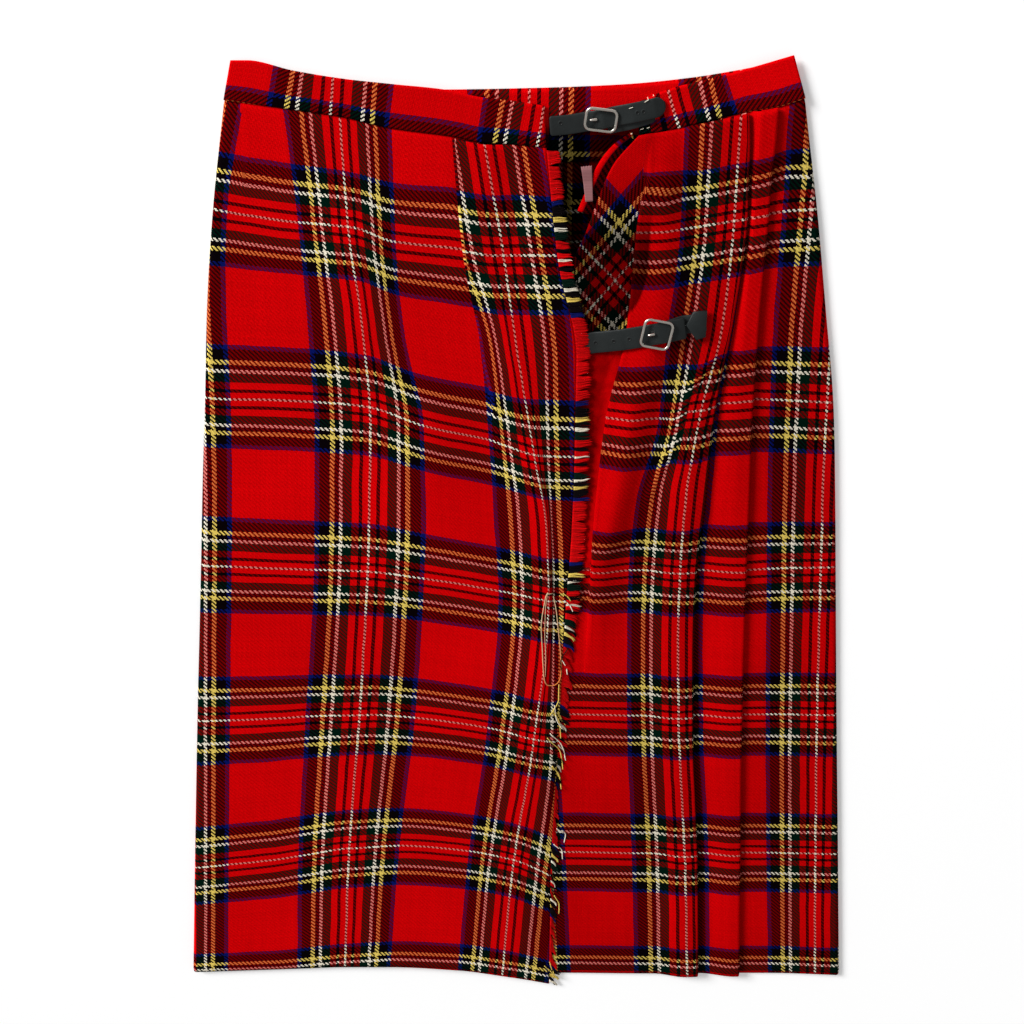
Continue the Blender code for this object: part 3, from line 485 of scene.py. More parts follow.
# %% The over-apron's surface
def apron_surface(setts):
    """Points and sett counts of the over-apron, from its side fold to its raw edge.

    A row is its turned side, open cloth, the tuck and open cloth again. Heights are the table's
    curve, and past the tuck the cloth it hides still lifts them, less and less.
    """
    def drawn(*tables):
        return [smooth(APRON_SETTS, table, setts) for table in tables]

    across, down, height = drawn(APRON_ACROSS, APRON_DOWN, APRON_HEIGHT)
    length, turn = drawn(TUCK_LENGTH, TUCK_TURN)
    group, low, high = drawn(EDGE_GROUP_ACROSS, TUCK_LOW_SETT, TUCK_HIGH_SETT)
    edge = across[:, TUCK]
    profile = fold_profile(length, turn)
    rise = profile[:, -1, 1][:, None]
    fold_x = (edge + CLOTH / 2 + TURN - length * np.cos(np.pi * turn))[:, None] + profile[:, :, 0]
    fold_z = across_rows(across, height, fold_x) + profile[:, :, 1]
    roll_x, roll_z = side_roll(across[:, 0], height[:, 0], -1)
    left = places([roll_x[:, -1] + 1.0, *across[:, 1:TUCK + 1].T], [22, 18, 18, 16])
    past = np.maximum(edge + length + FOLD_MARGIN, fold_x[:, -1] + 2)
    right = places([fold_x[:, -1] + STEP_OFF, past, *across[:, TUCK + 1:].T], [8, 18, 12, 12])
    left_z = across_rows(across, height, left)
    reach = (edge + length + FOLD_MARGIN)[:, None]
    right_z = across_rows(across, height, right) + rise * (1 - ramp((right - reach) / FOLD_SLOPE))
    x = np.concatenate([roll_x, left, fold_x, right], axis=1)
    z = np.concatenate([roll_z, left_z, fold_z, right_z], axis=1)
    d = across_rows(across, down, x)
    ones = np.ones(len(setts))
    left_knots = np.stack([across[:, 0], group, *across[:, 1:TUCK + 1].T], axis=1)
    start = EDGE_SETT - (group - across[:, 0]) / SETT
    left_setts = np.stack([start, EDGE_SETT * ones, 0.71 * ones, ones, 1.29 * ones, low], axis=1)
    right_setts = np.stack([high, 2 * ones, (2 + WHITE_LINE) * ones,
                            2 + WHITE_LINE + (across[:, 7] - across[:, 6]) / SETT], axis=1)
    s_left = line_rows(left_knots, left_setts, left)
    roll_length = row_lengths(roll_x, roll_z)
    s_roll = s_left[:, :1] - (roll_length[:, -1:] + 1.0 - roll_length) / SETT
    share = np.minimum(np.linspace(0, 2, fold_x.shape[1]), 1.0)
    closed = ramp(1 - turn)[:, None]
    s_fold = low[:, None] + (high - low)[:, None] * share
    s_fold = s_fold + (line_rows(across[:, TUCK:], right_setts, fold_x) - s_fold) * closed
    s_right = line_rows(across[:, TUCK:], right_setts, right)
    s = np.concatenate([s_roll, s_left, s_fold, s_right], axis=1)
    dart_setts, dart_across, dart_taken = np.array(DART, float).T
    dart_at = smooth(dart_setts, dart_across, setts)
    dart_size = smooth(dart_setts, dart_taken, setts)
    past_dart = x - dart_at[:, None]
    fade = np.clip(1 - past_dart / DART_FADE, 0, 1) * (past_dart > 0)
    s = s + dart_size[:, None] * fade
    z = z + 0.5 * (dart_size[:, None] > 0.02) * np.exp(-past_dart / 5) * (past_dart > 0)
    t = np.asarray(setts)[:, None] + nudge(APRON_NUDGE, x, setts)
    return np.stack([x, d, z], axis=2), np.stack([s, t], axis=2)


apron_setts = np.linspace(0.445, 5.88, SCENE_ROWS)
apron_points, apron_counts = apron_surface(apron_setts)
print("over-apron grid:", apron_points.shape[:2])

# %% [markdown]
# ## The hip panel
#
# The second sheet has three folds: the turned edge beside the opening and two knife pleats. They
# are stretches of the same rows, so the cloth stays whole. In the opening the cloth lies turned,
# and its tartan runs aslant. That stretch gets its counts from a small tilted grid, laid through
# the one crossing of white lines that shows there.

# %% The hip panel's surface
def turned_setts(x, d):
    """Sett counts of the cloth that lies turned beside the opening."""
    matrix = np.linalg.inv(np.array([TURNED_WARP, TURNED_WEFT]).T)
    away = np.stack([x - TURNED_AT[0], d - TURNED_AT[1]], axis=0)
    counts = np.einsum("ij,jrc->irc", matrix, away)
    return counts[0] + TURNED_SETT[0], counts[1] + TURNED_SETT[1]


def hip_surface(setts):
    """Points and sett counts of the hip panel, from its hidden end to the side fold.

    A row is hidden cloth, the turned fold, the front, a pleat, the strip between the pleats, the
    second pleat, the side and its turn. Each fold lifts what lies on it by its own height.
    """
    def drawn(*tables):
        return [smooth(HIP_SETTS, table, setts) for table in tables]

    across, down, height = drawn(HIP_ACROSS, HIP_DOWN, HIP_HEIGHT)
    open_length, open_turn = drawn(OPENING_LENGTH, OPENING_TURN)
    first, second, pressed, back_sett = drawn(FIRST_LENGTH, SECOND_LENGTH, PRESSED, FIRST_BACK_SETT)
    fold_at, ridge_at, group_at, middle_at, first_at, second_at, fourth_at, side_at = across[:, 1:].T
    opening = fold_profile(open_length, open_turn)
    rise = opening[:, -1, 1][:, None]
    pleat_1 = fold_profile(first, pressed)
    tall = pleat_1[:, -1, 1][:, None]
    pleat_2 = fold_profile(second, pressed)
    before_1 = first_at - first - FOLD_MARGIN
    before_2 = second_at - second - FOLD_MARGIN

    def base(x):
        return across_rows(across, height, x)

    x1 = (fold_at + CLOTH / 2 + TURN - open_length * np.cos(np.pi * open_turn))[:, None] + opening[:, :, 0]
    z1 = base(x1) + opening[:, :, 1]
    lower_2 = (first_at - CLOTH / 2 - TURN - first)[:, None]
    x2 = (lower_2 - pleat_1[:, :, 0])[:, ::-1]
    z2 = base(x2) + pleat_1[:, ::-1, 1]
    lower_3 = (second_at - CLOTH / 2 - TURN - second)[:, None]
    x3 = (lower_3 - pleat_2[:, :, 0])[:, ::-1]
    z3 = base(x3) + pleat_2[:, ::-1, 1]
    roll_x, roll_z = side_roll(side_at, height[:, -1], 1)
    roll_x, roll_z = roll_x[:, ::-1], roll_z[:, ::-1]
    hidden = places([across[:, 0], fold_at, x1[:, 0] - 0.12], [24, 5])
    hidden_z = base(hidden)
    shown = places([x1[:, -1] + STEP_OFF, ridge_at, group_at, before_1 - FOLD_SLOPE / 2, before_1,
                    x2[:, 0] - STEP_OFF], [14, 8, 10, 10, 6])
    fallen = 1 - ramp((shown - (fold_at + open_length + FOLD_MARGIN)[:, None]) / FOLD_SLOPE)
    lifted = ramp((shown - (before_1 - FOLD_SLOPE)[:, None]) / FOLD_SLOPE)
    shown_z = base(shown) + rise * fallen + tall * lifted
    middle = places([first_at + STEP_OFF, before_2, x3[:, 0] - STEP_OFF], [14, 4])
    start = (first_at + STEP_OFF)[:, None]
    middle_z = base(middle) + tall * ramp((middle - start) / (before_2[:, None] - start))
    side = places([second_at + STEP_OFF, fourth_at, roll_x[:, 0] - 1.0], [6, 22])
    side_z = base(side)

    ones = np.ones(len(setts))
    s_shown = line_rows(np.stack([across[:, 0] - 1, group_at, middle_at, first_at], axis=1), np.stack([
        THIRD_GROUP - (group_at - across[:, 0] + 1) / SETT, THIRD_GROUP * ones, THIRD_MIDDLE * ones,
        THIRD_MIDDLE + (first_at - middle_at) / SETT], axis=1), shown)
    first_sett = THIRD_MIDDLE + (first_at - middle_at) / SETT
    second_low = back_sett + (second_at - first_at) / SETT
    second_high = FOURTH_GROUP - (fourth_at - second_at) / SETT
    s_middle = back_sett[:, None] + (middle - first_at[:, None]) / SETT
    s_side = FOURTH_GROUP + (side - fourth_at[:, None]) / SETT
    share = np.linspace(0, 1, x1.shape[1])
    s2 = first_sett[:, None] + (back_sett - first_sett)[:, None] * share
    s3 = second_low[:, None] + (second_high - second_low)[:, None] * share
    s1 = s_shown[:, :1] - (1 - share) * (2 * open_length[:, None] + 7) / SETT
    roll_length = row_lengths(roll_x, roll_z)
    s_roll = s_side[:, -1:] + (roll_length + 1.0) / SETT
    x = np.concatenate([hidden, x1, shown, x2, middle, x3, side, roll_x], axis=1)
    z = np.concatenate([hidden_z, z1, shown_z, z2, middle_z, z3, side_z, roll_z], axis=1)
    d = across_rows(across, down, x)
    t = np.asarray(setts)[:, None] + nudge(HIP_NUDGE, x, setts)

    count = hidden.shape[1]
    turned_s, turned_t = turned_setts(hidden, d[:, :count])
    below = d[:, :count] > BELOW_STRAP
    closed = d[:, :count] > OPENING_END
    straight_s = s1[:, :1] - (hidden[:, -1:] - hidden) / SETT
    s_hidden = np.where(closed, straight_s, np.where(below, PLAIN_SETT[0], turned_s))
    t[:, :count] = np.where(closed, t[:, :count], np.where(below, PLAIN_SETT[1], turned_t))
    s = np.concatenate([s_hidden, s1, s_shown, s2, s_middle, s3, s_side, s_roll], axis=1)
    z, s, t = opening_edge(x, d, z, s, t)
    z, t = crease(x, d, z, t)
    return np.stack([x, d, z], axis=2), np.stack([s, t], axis=2)


hip_setts = np.linspace(0.445, 5.91, SCENE_ROWS)
hip_points, hip_counts = hip_surface(hip_setts)
print("hip panel grid:", hip_points.shape[:2])

# %% [markdown]
# ## Waistbands as strips
#
# A waistband is a strip cut on the straight and folded double over the raw top of the skirt. It
# lies flat, so its middle is ruled straight from the top edge to the seam, and both edges are smooth
# curves through a few places.

# %% Strips between two edges
def edge_line(edge, across):
    """Points (across, down) of a smooth edge at the places across that are asked for."""
    edge = np.array(edge, float)
    return np.stack([across, smooth(edge[:, 0], edge[:, 1], across)], axis=1)


def band_surface(top, seam, height, columns, rows):
    """Middle of a waistband between its top edge and its seam."""
    top_line = edge_line(top, np.linspace(top[0][0], top[-1][0], columns))
    seam_line = edge_line(seam, np.linspace(seam[0][0], seam[-1][0], columns))
    part = np.linspace(0.0, 1.0, rows)[:, None, None]
    flat = top_line + (seam_line - top_line) * part
    return np.concatenate([flat, np.full(flat.shape[:2] + (1,), float(height))], axis=2)


print("hip waistband's top edge, in the middle:", edge_line(HIP_BAND_TOP, np.array([120.0])).round(1))

# %% [markdown]
# ## Making meshes
#
# A shell is a grid of points with the thickness of the cloth on both sides and a soft rim. A set
# of tubes is any number of threads swept at once. A Solidify modifier could give the thickness, but
# it has no soft rim, and bevelled curves would need one object for each thread. So both are whole
# arrays, handed to Blender in one go.

# %% Meshes from arrays
def to_metres(points):
    """From across, down and height in mm to the frame's own metres."""
    points = np.asarray(points, float)
    moved = np.stack([points[..., 0] - MIDDLE_ACROSS, MIDDLE_DOWN - points[..., 1], points[..., 2]], axis=-1)
    return moved * MM


def make_mesh(name, points, faces, counts=None, values=None, colour=None):
    """An object from points in the tables' measure and one or more arrays of faces."""
    mesh = bpy.data.meshes.new(name)
    sizes = np.concatenate([np.full(len(block), block.shape[1]) for block in faces])
    corners = np.concatenate([block.ravel() for block in faces]).astype(np.int32)
    mesh.vertices.add(len(points))
    mesh.vertices.foreach_set("co", to_metres(points).ravel())
    mesh.loops.add(len(corners))
    mesh.loops.foreach_set("vertex_index", corners)
    mesh.polygons.add(len(sizes))
    mesh.polygons.foreach_set("loop_start", np.concatenate([[0], np.cumsum(sizes)[:-1]]).astype(np.int32))
    mesh.update(calc_edges=True)
    if counts is not None:
        layer = mesh.uv_layers.new(name="setts")
        layer.data.foreach_set("uv", counts[corners].ravel())
    for key, value in (values or {}).items():
        mesh.attributes.new(key, "FLOAT", "POINT").data.foreach_set("value", value.ravel())
    if colour is not None:
        rgba = np.concatenate([colour, np.ones((len(colour), 1))], axis=1)
        mesh.attributes.new("tint", "FLOAT_COLOR", "POINT").data.foreach_set("color", rgba.ravel())
    mesh.shade_smooth()
    made = bpy.data.objects.new(name, mesh)
    bpy.context.collection.objects.link(made)
    return made


print("the table's middle comes to", to_metres((MIDDLE_ACROSS, MIDDLE_DOWN, 0.0)), "m")


# %% Shells and tubes
def normals(grid):
    """Unit normal at each point of a grid, pointing up where the cloth lies flat."""
    normal = np.cross(np.gradient(grid, axis=1), np.gradient(grid, axis=0))
    return normal / np.linalg.norm(normal, axis=2, keepdims=True)


def shell(name, grid, counts, thickness, shade=None, rim=0.5):
    """A closed shell round a grid of points, thinner along its rim."""
    rows, columns = grid.shape[:2]
    half = np.full((rows, columns, 1), thickness / 2)
    half[[0, -1]] *= rim
    half[:, [0, -1]] *= rim
    offset = normals(grid) * half
    points = np.concatenate([(grid + offset).reshape(-1, 3), (grid - offset).reshape(-1, 3)])
    index = np.arange(rows * columns).reshape(rows, columns)
    lower = rows * columns
    upper = np.stack([index[1:, :-1], index[1:, 1:], index[:-1, 1:], index[:-1, :-1]], axis=2).reshape(-1, 4)
    under = np.stack([index[:-1, :-1], index[:-1, 1:], index[1:, 1:], index[1:, :-1]], axis=2)
    under = under.reshape(-1, 4) + lower
    loop = np.concatenate([index[0], index[1:, -1], index[-1, -2::-1], index[-2:0:-1, 0]])
    after = np.roll(loop, -1)
    edge = np.stack([loop, after, after + lower, loop + lower], axis=1)
    shade = np.ones((rows, columns)) if shade is None else shade
    values = {"shade": np.concatenate([shade.ravel(), shade.ravel()])}
    flat = np.asarray(counts, float).reshape(-1, 2)
    return make_mesh(name, points, [upper, under, edge], np.concatenate([flat, flat]), values)


def tubes(name, paths, radii, sides=5, colour=None):
    """Many threads in one mesh: paths is (threads, points, 3) and radii is (threads, points)."""
    threads, count = paths.shape[:2]
    along = np.gradient(paths, axis=1)
    along /= np.linalg.norm(along, axis=2, keepdims=True) + 1e-9
    guide = np.where(np.abs(along[..., 2:]) > 0.9, np.array([1.0, 0, 0]), np.array([0, 0, 1.0]))
    beside = np.cross(along, guide)
    beside /= np.linalg.norm(beside, axis=2, keepdims=True) + 1e-9
    above = np.cross(beside, along)
    angle = np.arange(sides) * 2 * math.pi / sides
    circle = (np.cos(angle)[:, None] * beside[:, :, None] + np.sin(angle)[:, None] * above[:, :, None])
    points = paths[:, :, None] + radii[:, :, None, None] * circle
    index = np.arange(threads * count * sides).reshape(threads, count, sides)
    turned = np.roll(index, -1, axis=2)
    walls = np.stack([index[:, :-1], turned[:, :-1], turned[:, 1:], index[:, 1:]], axis=3).reshape(-1, 4)
    caps = np.concatenate([index[:, 0, ::-1], index[:, -1]])
    tint = None
    if colour is not None:
        along_thread = colour if colour.ndim == 3 else np.repeat(colour[:, None], count, axis=1)
        tint = np.repeat(along_thread.reshape(-1, 3), sides, axis=0)
    return make_mesh(name, points.reshape(-1, 3), [walls, caps], colour=tint)


level = normals(apron_points)[:, :, 2]
print("the over-apron's steepest place leans", round(math.degrees(math.acos(max(level.min(), -1)))), "degrees")

# %% [markdown]
# ## The tartan
#
# Half a sett is eleven stripes, counted in threads from its white middle line outward, and the
# other half mirrors it. Warp and weft follow the same count. In a twill each thread goes over two
# and under two, one step further on each line, so where a dark stripe crosses red ground the two
# colours show as slanted hatching, which the eye reads as purple or maroon.
#
# A few crossed bands of colour would give the checks but not the hatching. So the shader works
# thread by thread, from a chart like a weaver's.

# %% Chart and palette
CHART = (("white", 1), ("red", 5), ("black", 3), ("red", 6), ("green", 8), ("white", 3),
         ("black", 4), ("yellow", 4), ("black", 9), ("blue", 4), ("red", 33))
PALETTE = {
    "red": (0.865, 0.035, 0.06),
    "black": (0.075, 0.05, 0.065),
    "green": (0.03, 0.13, 0.1),
    "white": (0.99, 0.95, 0.86),
    "yellow": (0.94, 0.82, 0.4),
    "blue": (0.07, 0.11, 0.38),
}
SCREEN_GAMMA = 2.2           # the palette holds colours as a screen shows them; this makes them light
HALF_SETT = THREADS // 2


def thread_colours(setts):
    """Colour of the threads at these sett counts."""
    place = np.abs((np.asarray(setts) + 0.5) % 1.0 - 0.5) * THREADS
    ends = np.cumsum([count for colour, count in CHART])
    stripe = np.minimum(np.searchsorted(ends, place, side="right"), len(CHART) - 1)
    return np.array([PALETTE[colour] for colour, count in CHART])[stripe] ** SCREEN_GAMMA


print("half a sett has", sum(count for colour, count in CHART), "threads")

# %% [markdown]
# ## Building shaders in code
#
# A material could be wired up by hand in the shader editor. In code, one short call for each node
# keeps a long graph readable, and a value or another node's socket can go on any input.

# %% Node helpers
def new_material(name):
    """A material with only its shader and output, and the tree and shader to build on."""
    made = bpy.data.materials.new(name)
    made.use_nodes = True
    return made, made.node_tree, made.node_tree.nodes["Principled BSDF"]


def add_node(tree, kind, links=None, **settings):
    """A node with its settings, and values or sockets on its inputs."""
    node = tree.nodes.new(kind)
    for key, value in settings.items():
        setattr(node, key, value)
    for key, value in (links or {}).items():
        if isinstance(value, bpy.types.NodeSocket):
            tree.links.new(value, node.inputs[key])
        else:
            node.inputs[key].default_value = value
    return node


def maths(tree, operation, *values):
    """Result of a Math node on sockets or numbers."""
    return add_node(tree, "ShaderNodeMath", dict(enumerate(values)), operation=operation).outputs[0]


def mix_colour(tree, factor, first, second, blend="MIX"):
    """Result of a colour mix."""
    node = add_node(tree, "ShaderNodeMix", data_type="RGBA", blend_type=blend)
    for index, value in ((0, factor), (6, first), (7, second)):
        if isinstance(value, bpy.types.NodeSocket):
            tree.links.new(value, node.inputs[index])
        else:
            node.inputs[index].default_value = value
    return node.outputs[2]


def noise(tree, vector, scale, detail=2.0):
    """Grey noise, about 0.5 on average."""
    links = {"Vector": vector, "Scale": scale, "Detail": detail}
    return add_node(tree, "ShaderNodeTexNoise", links).outputs[0]


def map_range(tree, value, low, high, start, end):
    """Straight line from start at low to end at high, and level beyond them."""
    return add_node(tree, "ShaderNodeMapRange", {0: value, 1: low, 2: high, 3: start, 4: end}).outputs[0]


def set_bump(tree, shader, height, distance):
    """Relief on the shader from a height between about 0 and 1, and the distance in metres it stands for."""
    bump = add_node(tree, "ShaderNodeBump", {"Height": height, "Distance": distance, "Strength": 0.5})
    tree.links.new(bump.outputs[0], shader.inputs["Normal"])


def shade_of_grey(tree, light):
    """The grey colour of one value."""
    return add_node(tree, "ShaderNodeCombineColor", {0: light, 1: light, 2: light}).outputs[0]


print("palette:", sorted(PALETTE))

# %% [markdown]
# ## The woven wool
#
# Kilt wool is a hard, even twill with a little fuzz. The shader numbers the warp and weft threads
# under a point, looks both up in the chart, and finds the one on top from two waves, one along
# each thread. Red fuzz lies over a bright thread that crosses red ground, which turns yellow to
# orange and white to pink. A red thread is painted darker where it dips between threads of another
# colour, as painted shade. Each thread is rounded with painted shading and bump, and noise makes the
# fibres and a few uneven clouds. Modelled threads would be truer close up, but there are 700 of them
# across and they would be too many to handle.

# %% Woven wool
FUZZ = 0.48                  # how much red fuzz lies on a bright thread that crosses red
DIP_SHADE = 0.45                  # painted shade: how much darker red is painted where it dips between threads of another colour


def tartan_material():
    """The woven wool, from the sett counts of each point."""
    made, tree, shader = new_material("tartan_wool")
    counts = add_node(tree, "ShaderNodeUVMap", uv_map="setts").outputs[0]
    place = add_node(tree, "ShaderNodeTexCoord").outputs["Object"]
    split = add_node(tree, "ShaderNodeSeparateXYZ", {0: counts})
    wander = noise(tree, place, 55.0, 3.0)
    sway = maths(tree, "MULTIPLY_ADD", wander, 1.6, -0.8)
    warp_at = maths(tree, "MULTIPLY_ADD", split.outputs[0], float(THREADS), sway)
    weft_at = maths(tree, "MULTIPLY_ADD", split.outputs[1], float(THREADS), sway)

    def thread(at):
        number = maths(tree, "FLOOR", at)
        middle = maths(tree, "MULTIPLY_ADD", number, 1 / THREADS, 0.5 / THREADS)
        fold = maths(tree, "MULTIPLY", maths(tree, "PINGPONG", middle, 0.5), 2.0)
        ramp_node = add_node(tree, "ShaderNodeValToRGB", {0: fold})
        ramp_node.color_ramp.interpolation = "CONSTANT"
        stops = ramp_node.color_ramp.elements
        start = 0
        for index, (colour, count) in enumerate(CHART):
            stop = stops[index] if index < 2 else stops.new(start / HALF_SETT)
            stop.position = start / HALF_SETT
            stop.color = (*PALETTE[colour], float(colour == "red"))
            start += count
        return number, ramp_node.outputs[0], ramp_node.outputs[1]

    def over_and_under(first, second):
        step = maths(tree, "MULTIPLY_ADD", maths(tree, "SUBTRACT", first, second), math.pi / 2, -math.pi / 4)
        return maths(tree, "COSINE", step)

    warp, warp_colour, warp_red = thread(warp_at)
    weft, weft_colour, weft_red = thread(weft_at)
    along_warp = over_and_under(maths(tree, "ADD", warp, 0.5), weft_at)
    along_weft = over_and_under(warp_at, maths(tree, "ADD", weft, 0.5))
    wave = maths(tree, "ADD", along_warp, along_weft)
    on_top = map_range(tree, wave, -0.3, 0.3, 0.0, 1.0)
    colour = mix_colour(tree, on_top, weft_colour, warp_colour)
    top_red = add_node(tree, "ShaderNodeMix", {0: on_top, 2: weft_red, 3: warp_red}).outputs[0]
    low_red = add_node(tree, "ShaderNodeMix", {0: on_top, 2: warp_red, 3: weft_red}).outputs[0]
    value = add_node(tree, "ShaderNodeSeparateColor", {0: colour}, mode="HSV").outputs[2]
    crossed = maths(tree, "MULTIPLY", maths(tree, "SUBTRACT", 1.0, top_red), low_red)
    fuzz = maths(tree, "MULTIPLY", maths(tree, "MULTIPLY", crossed, maths(tree, "POWER", value, 0.5)), FUZZ)
    colour = mix_colour(tree, fuzz, colour, (*PALETTE["red"], 1.0))
    # painted shade: a red thread on top of another colour is darkened where it dips
    dip_shade = maths(tree, "MULTIPLY", maths(tree, "SUBTRACT", 1.0, low_red), top_red)

    def dome(value):
        return maths(tree, "SINE", maths(tree, "MULTIPLY", value, math.pi))

    warp_dome = dome(maths(tree, "FRACT", warp_at))
    weft_dome = dome(maths(tree, "FRACT", weft_at))
    round_top = add_node(tree, "ShaderNodeMix", {0: on_top, 2: weft_dome, 3: warp_dome}).outputs[0]
    number = add_node(tree, "ShaderNodeMix", {0: on_top, 2: weft, 3: warp}).outputs[0]
    spun = add_node(tree, "ShaderNodeTexWhiteNoise", {"W": number}, noise_dimensions="1D").outputs[0]
    fibres = noise(tree, place, 1400.0)
    clouds = noise(tree, place, 9.0, 2.0)
    # painted shading: each thread is lighter on its round top; the spun, fibre and cloud noise is the wool's own uneven
    # tone
    light = maths(tree, "MULTIPLY_ADD", round_top, 0.2, 0.86)
    light = maths(tree, "MULTIPLY", light, maths(tree, "MULTIPLY_ADD", spun, 0.08, 0.96))
    light = maths(tree, "MULTIPLY", light, maths(tree, "MULTIPLY_ADD", fibres, 0.3, 0.85))
    light = maths(tree, "MULTIPLY", light, maths(tree, "MULTIPLY_ADD", clouds, 0.2, 0.9))
    light = maths(tree, "MULTIPLY", light, maths(tree, "MULTIPLY_ADD", dip_shade, -DIP_SHADE, 1.0))
    # painted shade of each piece, from its shade values
    shade = add_node(tree, "ShaderNodeAttribute", attribute_name="shade").outputs["Fac"]
    light = maths(tree, "MULTIPLY", light, shade)
    shaded = mix_colour(tree, 1.0, colour, shade_of_grey(tree, light), "MULTIPLY")
    seen = add_node(tree, "ShaderNodeGamma", {0: shaded, 1: SCREEN_GAMMA})
    tree.links.new(seen.outputs[0], shader.inputs["Base Color"])
    set_bump(tree, shader, maths(tree, "ADD", round_top, maths(tree, "MULTIPLY", fibres, 0.6)), 0.0004)
    shader.inputs["Roughness"].default_value = 0.9
    shader.inputs["Specular IOR Level"].default_value = 0.0
    return made


wool = tartan_material()
print(wool.name, "has", len(wool.node_tree.nodes), "nodes")

# %% [markdown]
# ## Loose wool
#
# The threads of the fringe and the pulled yarns are the same wool, no longer woven. Each mesh
# carries the colour of its own threads as a tint, so one plain fuzzy material does for them all.

# %% Loose wool
def thread_material():
    """Loose wool threads, each with its own tint."""
    made, tree, shader = new_material("loose_wool")
    tint = add_node(tree, "ShaderNodeAttribute", attribute_name="tint").outputs["Color"]
    place = add_node(tree, "ShaderNodeTexCoord").outputs["Object"]
    fibres = noise(tree, place, 900.0)
    grey = shade_of_grey(tree, maths(tree, "MULTIPLY_ADD", fibres, 0.8, 0.6))
    tree.links.new(mix_colour(tree, 1.0, tint, grey, "MULTIPLY"), shader.inputs["Base Color"])
    shader.inputs["Roughness"].default_value = 0.95
    shader.inputs["Specular IOR Level"].default_value = 0.1
    set_bump(tree, shader, fibres, 0.0003)
    return made


loose = thread_material()
print("made", loose.name)

# %% [markdown]
# ## Leather
#
# The straps are black grained leather, a little greyer where they have rubbed. Their holes are only
# two millimetres wide and punched right through, so nothing shows in them but shade. Holes cut into the
# mesh would need much finer straps. The shader paints a round spot near-black instead, as painted
# shade, and raises a lip around it.

# %% Leather
HOLES = ((25.7, 40.4), (72, 33.0), (75.7, 32.4), (50.3, 182.3), (61.9, 180), (71.7, 177.8))    # in the straps
HOLE_RADIUS = 0.0007         # of the painted shade in a hole, where its edge ends, and where the lip around it ends
HOLE_EDGE = 0.0010
HOLE_LIP = 0.0017


def leather_material():
    """Near-black leather with a fine grain and slightly greyer worn spots."""
    made, tree, shader = new_material("black_leather")
    place = add_node(tree, "ShaderNodeTexCoord").outputs["Object"]
    grain = noise(tree, place, 1100.0, 4.0)
    worn = noise(tree, place, 90.0, 3.0)
    dark = (0.006, 0.008, 0.008, 1.0)
    pale = (0.026, 0.032, 0.032, 1.0)
    colour = mix_colour(tree, maths(tree, "MULTIPLY", worn, 0.6), dark, pale)
    flat = add_node(tree, "ShaderNodeVectorMath", {0: place, 1: (1.0, 1.0, 0.0)}, operation="MULTIPLY")
    nearest = 1.0
    for spot in to_metres([(*hole, 0.0) for hole in HOLES]):
        centre = (float(spot[0]), float(spot[1]), 0.0)
        away = add_node(tree, "ShaderNodeVectorMath", {0: flat.outputs[0], 1: centre}, operation="DISTANCE")
        nearest = maths(tree, "MINIMUM", away.outputs["Value"], nearest)
    hollow = map_range(tree, nearest, HOLE_RADIUS, HOLE_EDGE, 1.0, 0.0)
    lip = map_range(tree, nearest, HOLE_EDGE, HOLE_LIP, 1.0, 0.0)
    # painted shade: each hole is a near-black spot
    colour = mix_colour(tree, hollow, colour, (0.001, 0.001, 0.001, 1.0))
    tree.links.new(colour, shader.inputs["Base Color"])
    rough = maths(tree, "MULTIPLY_ADD", grain, 0.25, 0.4)
    tree.links.new(rough, shader.inputs["Roughness"])
    shader.inputs["Specular IOR Level"].default_value = 0.32
    punched = maths(tree, "SUBTRACT", lip, maths(tree, "MULTIPLY", hollow, 3.0))
    set_bump(tree, shader, maths(tree, "MULTIPLY_ADD", punched, 2.0, grain), 0.0002)
    return made


leather = leather_material()
print("made", leather.name, "with", len(HOLES), "holes")

# %% [markdown]
# ## Aged nickel and satin
#
# The buckles are plated iron. The plating is bright where it has been handled and dull between, so
# one noise drives both the colour and the roughness. The ribbon is satin, with fine ribs across it.
# They are far too small to model, so the light and shade on them is painted as two shades of one
# colour, from a sine wave.

# %% Nickel and satin
def metal_material():
    """Aged nickel: warm grey, polished by wear on some stretches and dull on others."""
    made, tree, shader = new_material("aged_nickel")
    place = add_node(tree, "ShaderNodeTexCoord").outputs["Object"]
    worn = noise(tree, place, 260.0, 4.0)
    colour = mix_colour(tree, worn, (0.55, 0.5, 0.43, 1.0), (0.95, 0.9, 0.82, 1.0))
    tree.links.new(colour, shader.inputs["Base Color"])
    shader.inputs["Metallic"].default_value = 1.0
    rough = maths(tree, "MULTIPLY_ADD", worn, -0.2, 0.42)
    tree.links.new(rough, shader.inputs["Roughness"])
    return made


def ribbon_material():
    """Pink satin, finely ribbed across, its ribs in painted shading."""
    made, tree, shader = new_material("satin_ribbon")
    place = add_node(tree, "ShaderNodeTexCoord").outputs["Object"]
    height = add_node(tree, "ShaderNodeSeparateXYZ", {0: place}).outputs[1]
    # painted shading of the ribs: lighter and darker bands of one colour
    rib_shading = maths(tree, "SINE", maths(tree, "MULTIPLY", height, 2 * math.pi / 0.0009))
    colour = mix_colour(tree, maths(tree, "MULTIPLY_ADD", rib_shading, 0.25, 0.5),
                        (0.2, 0.06, 0.065, 1.0), (0.33, 0.15, 0.15, 1.0))
    tree.links.new(colour, shader.inputs["Base Color"])
    shader.inputs["Roughness"].default_value = 0.45
    return made


nickel = metal_material()
satin = ribbon_material()
print("made", nickel.name, "and", satin.name)

# %% [markdown]
# ## The cloth
#
# The over-apron and the hip panel lie on the front, the back shows its inside between them, and
# the waistbands are bands of the same cloth with their own run of the pattern. On each waistband
# the dark stripe of the sett runs along the seam.

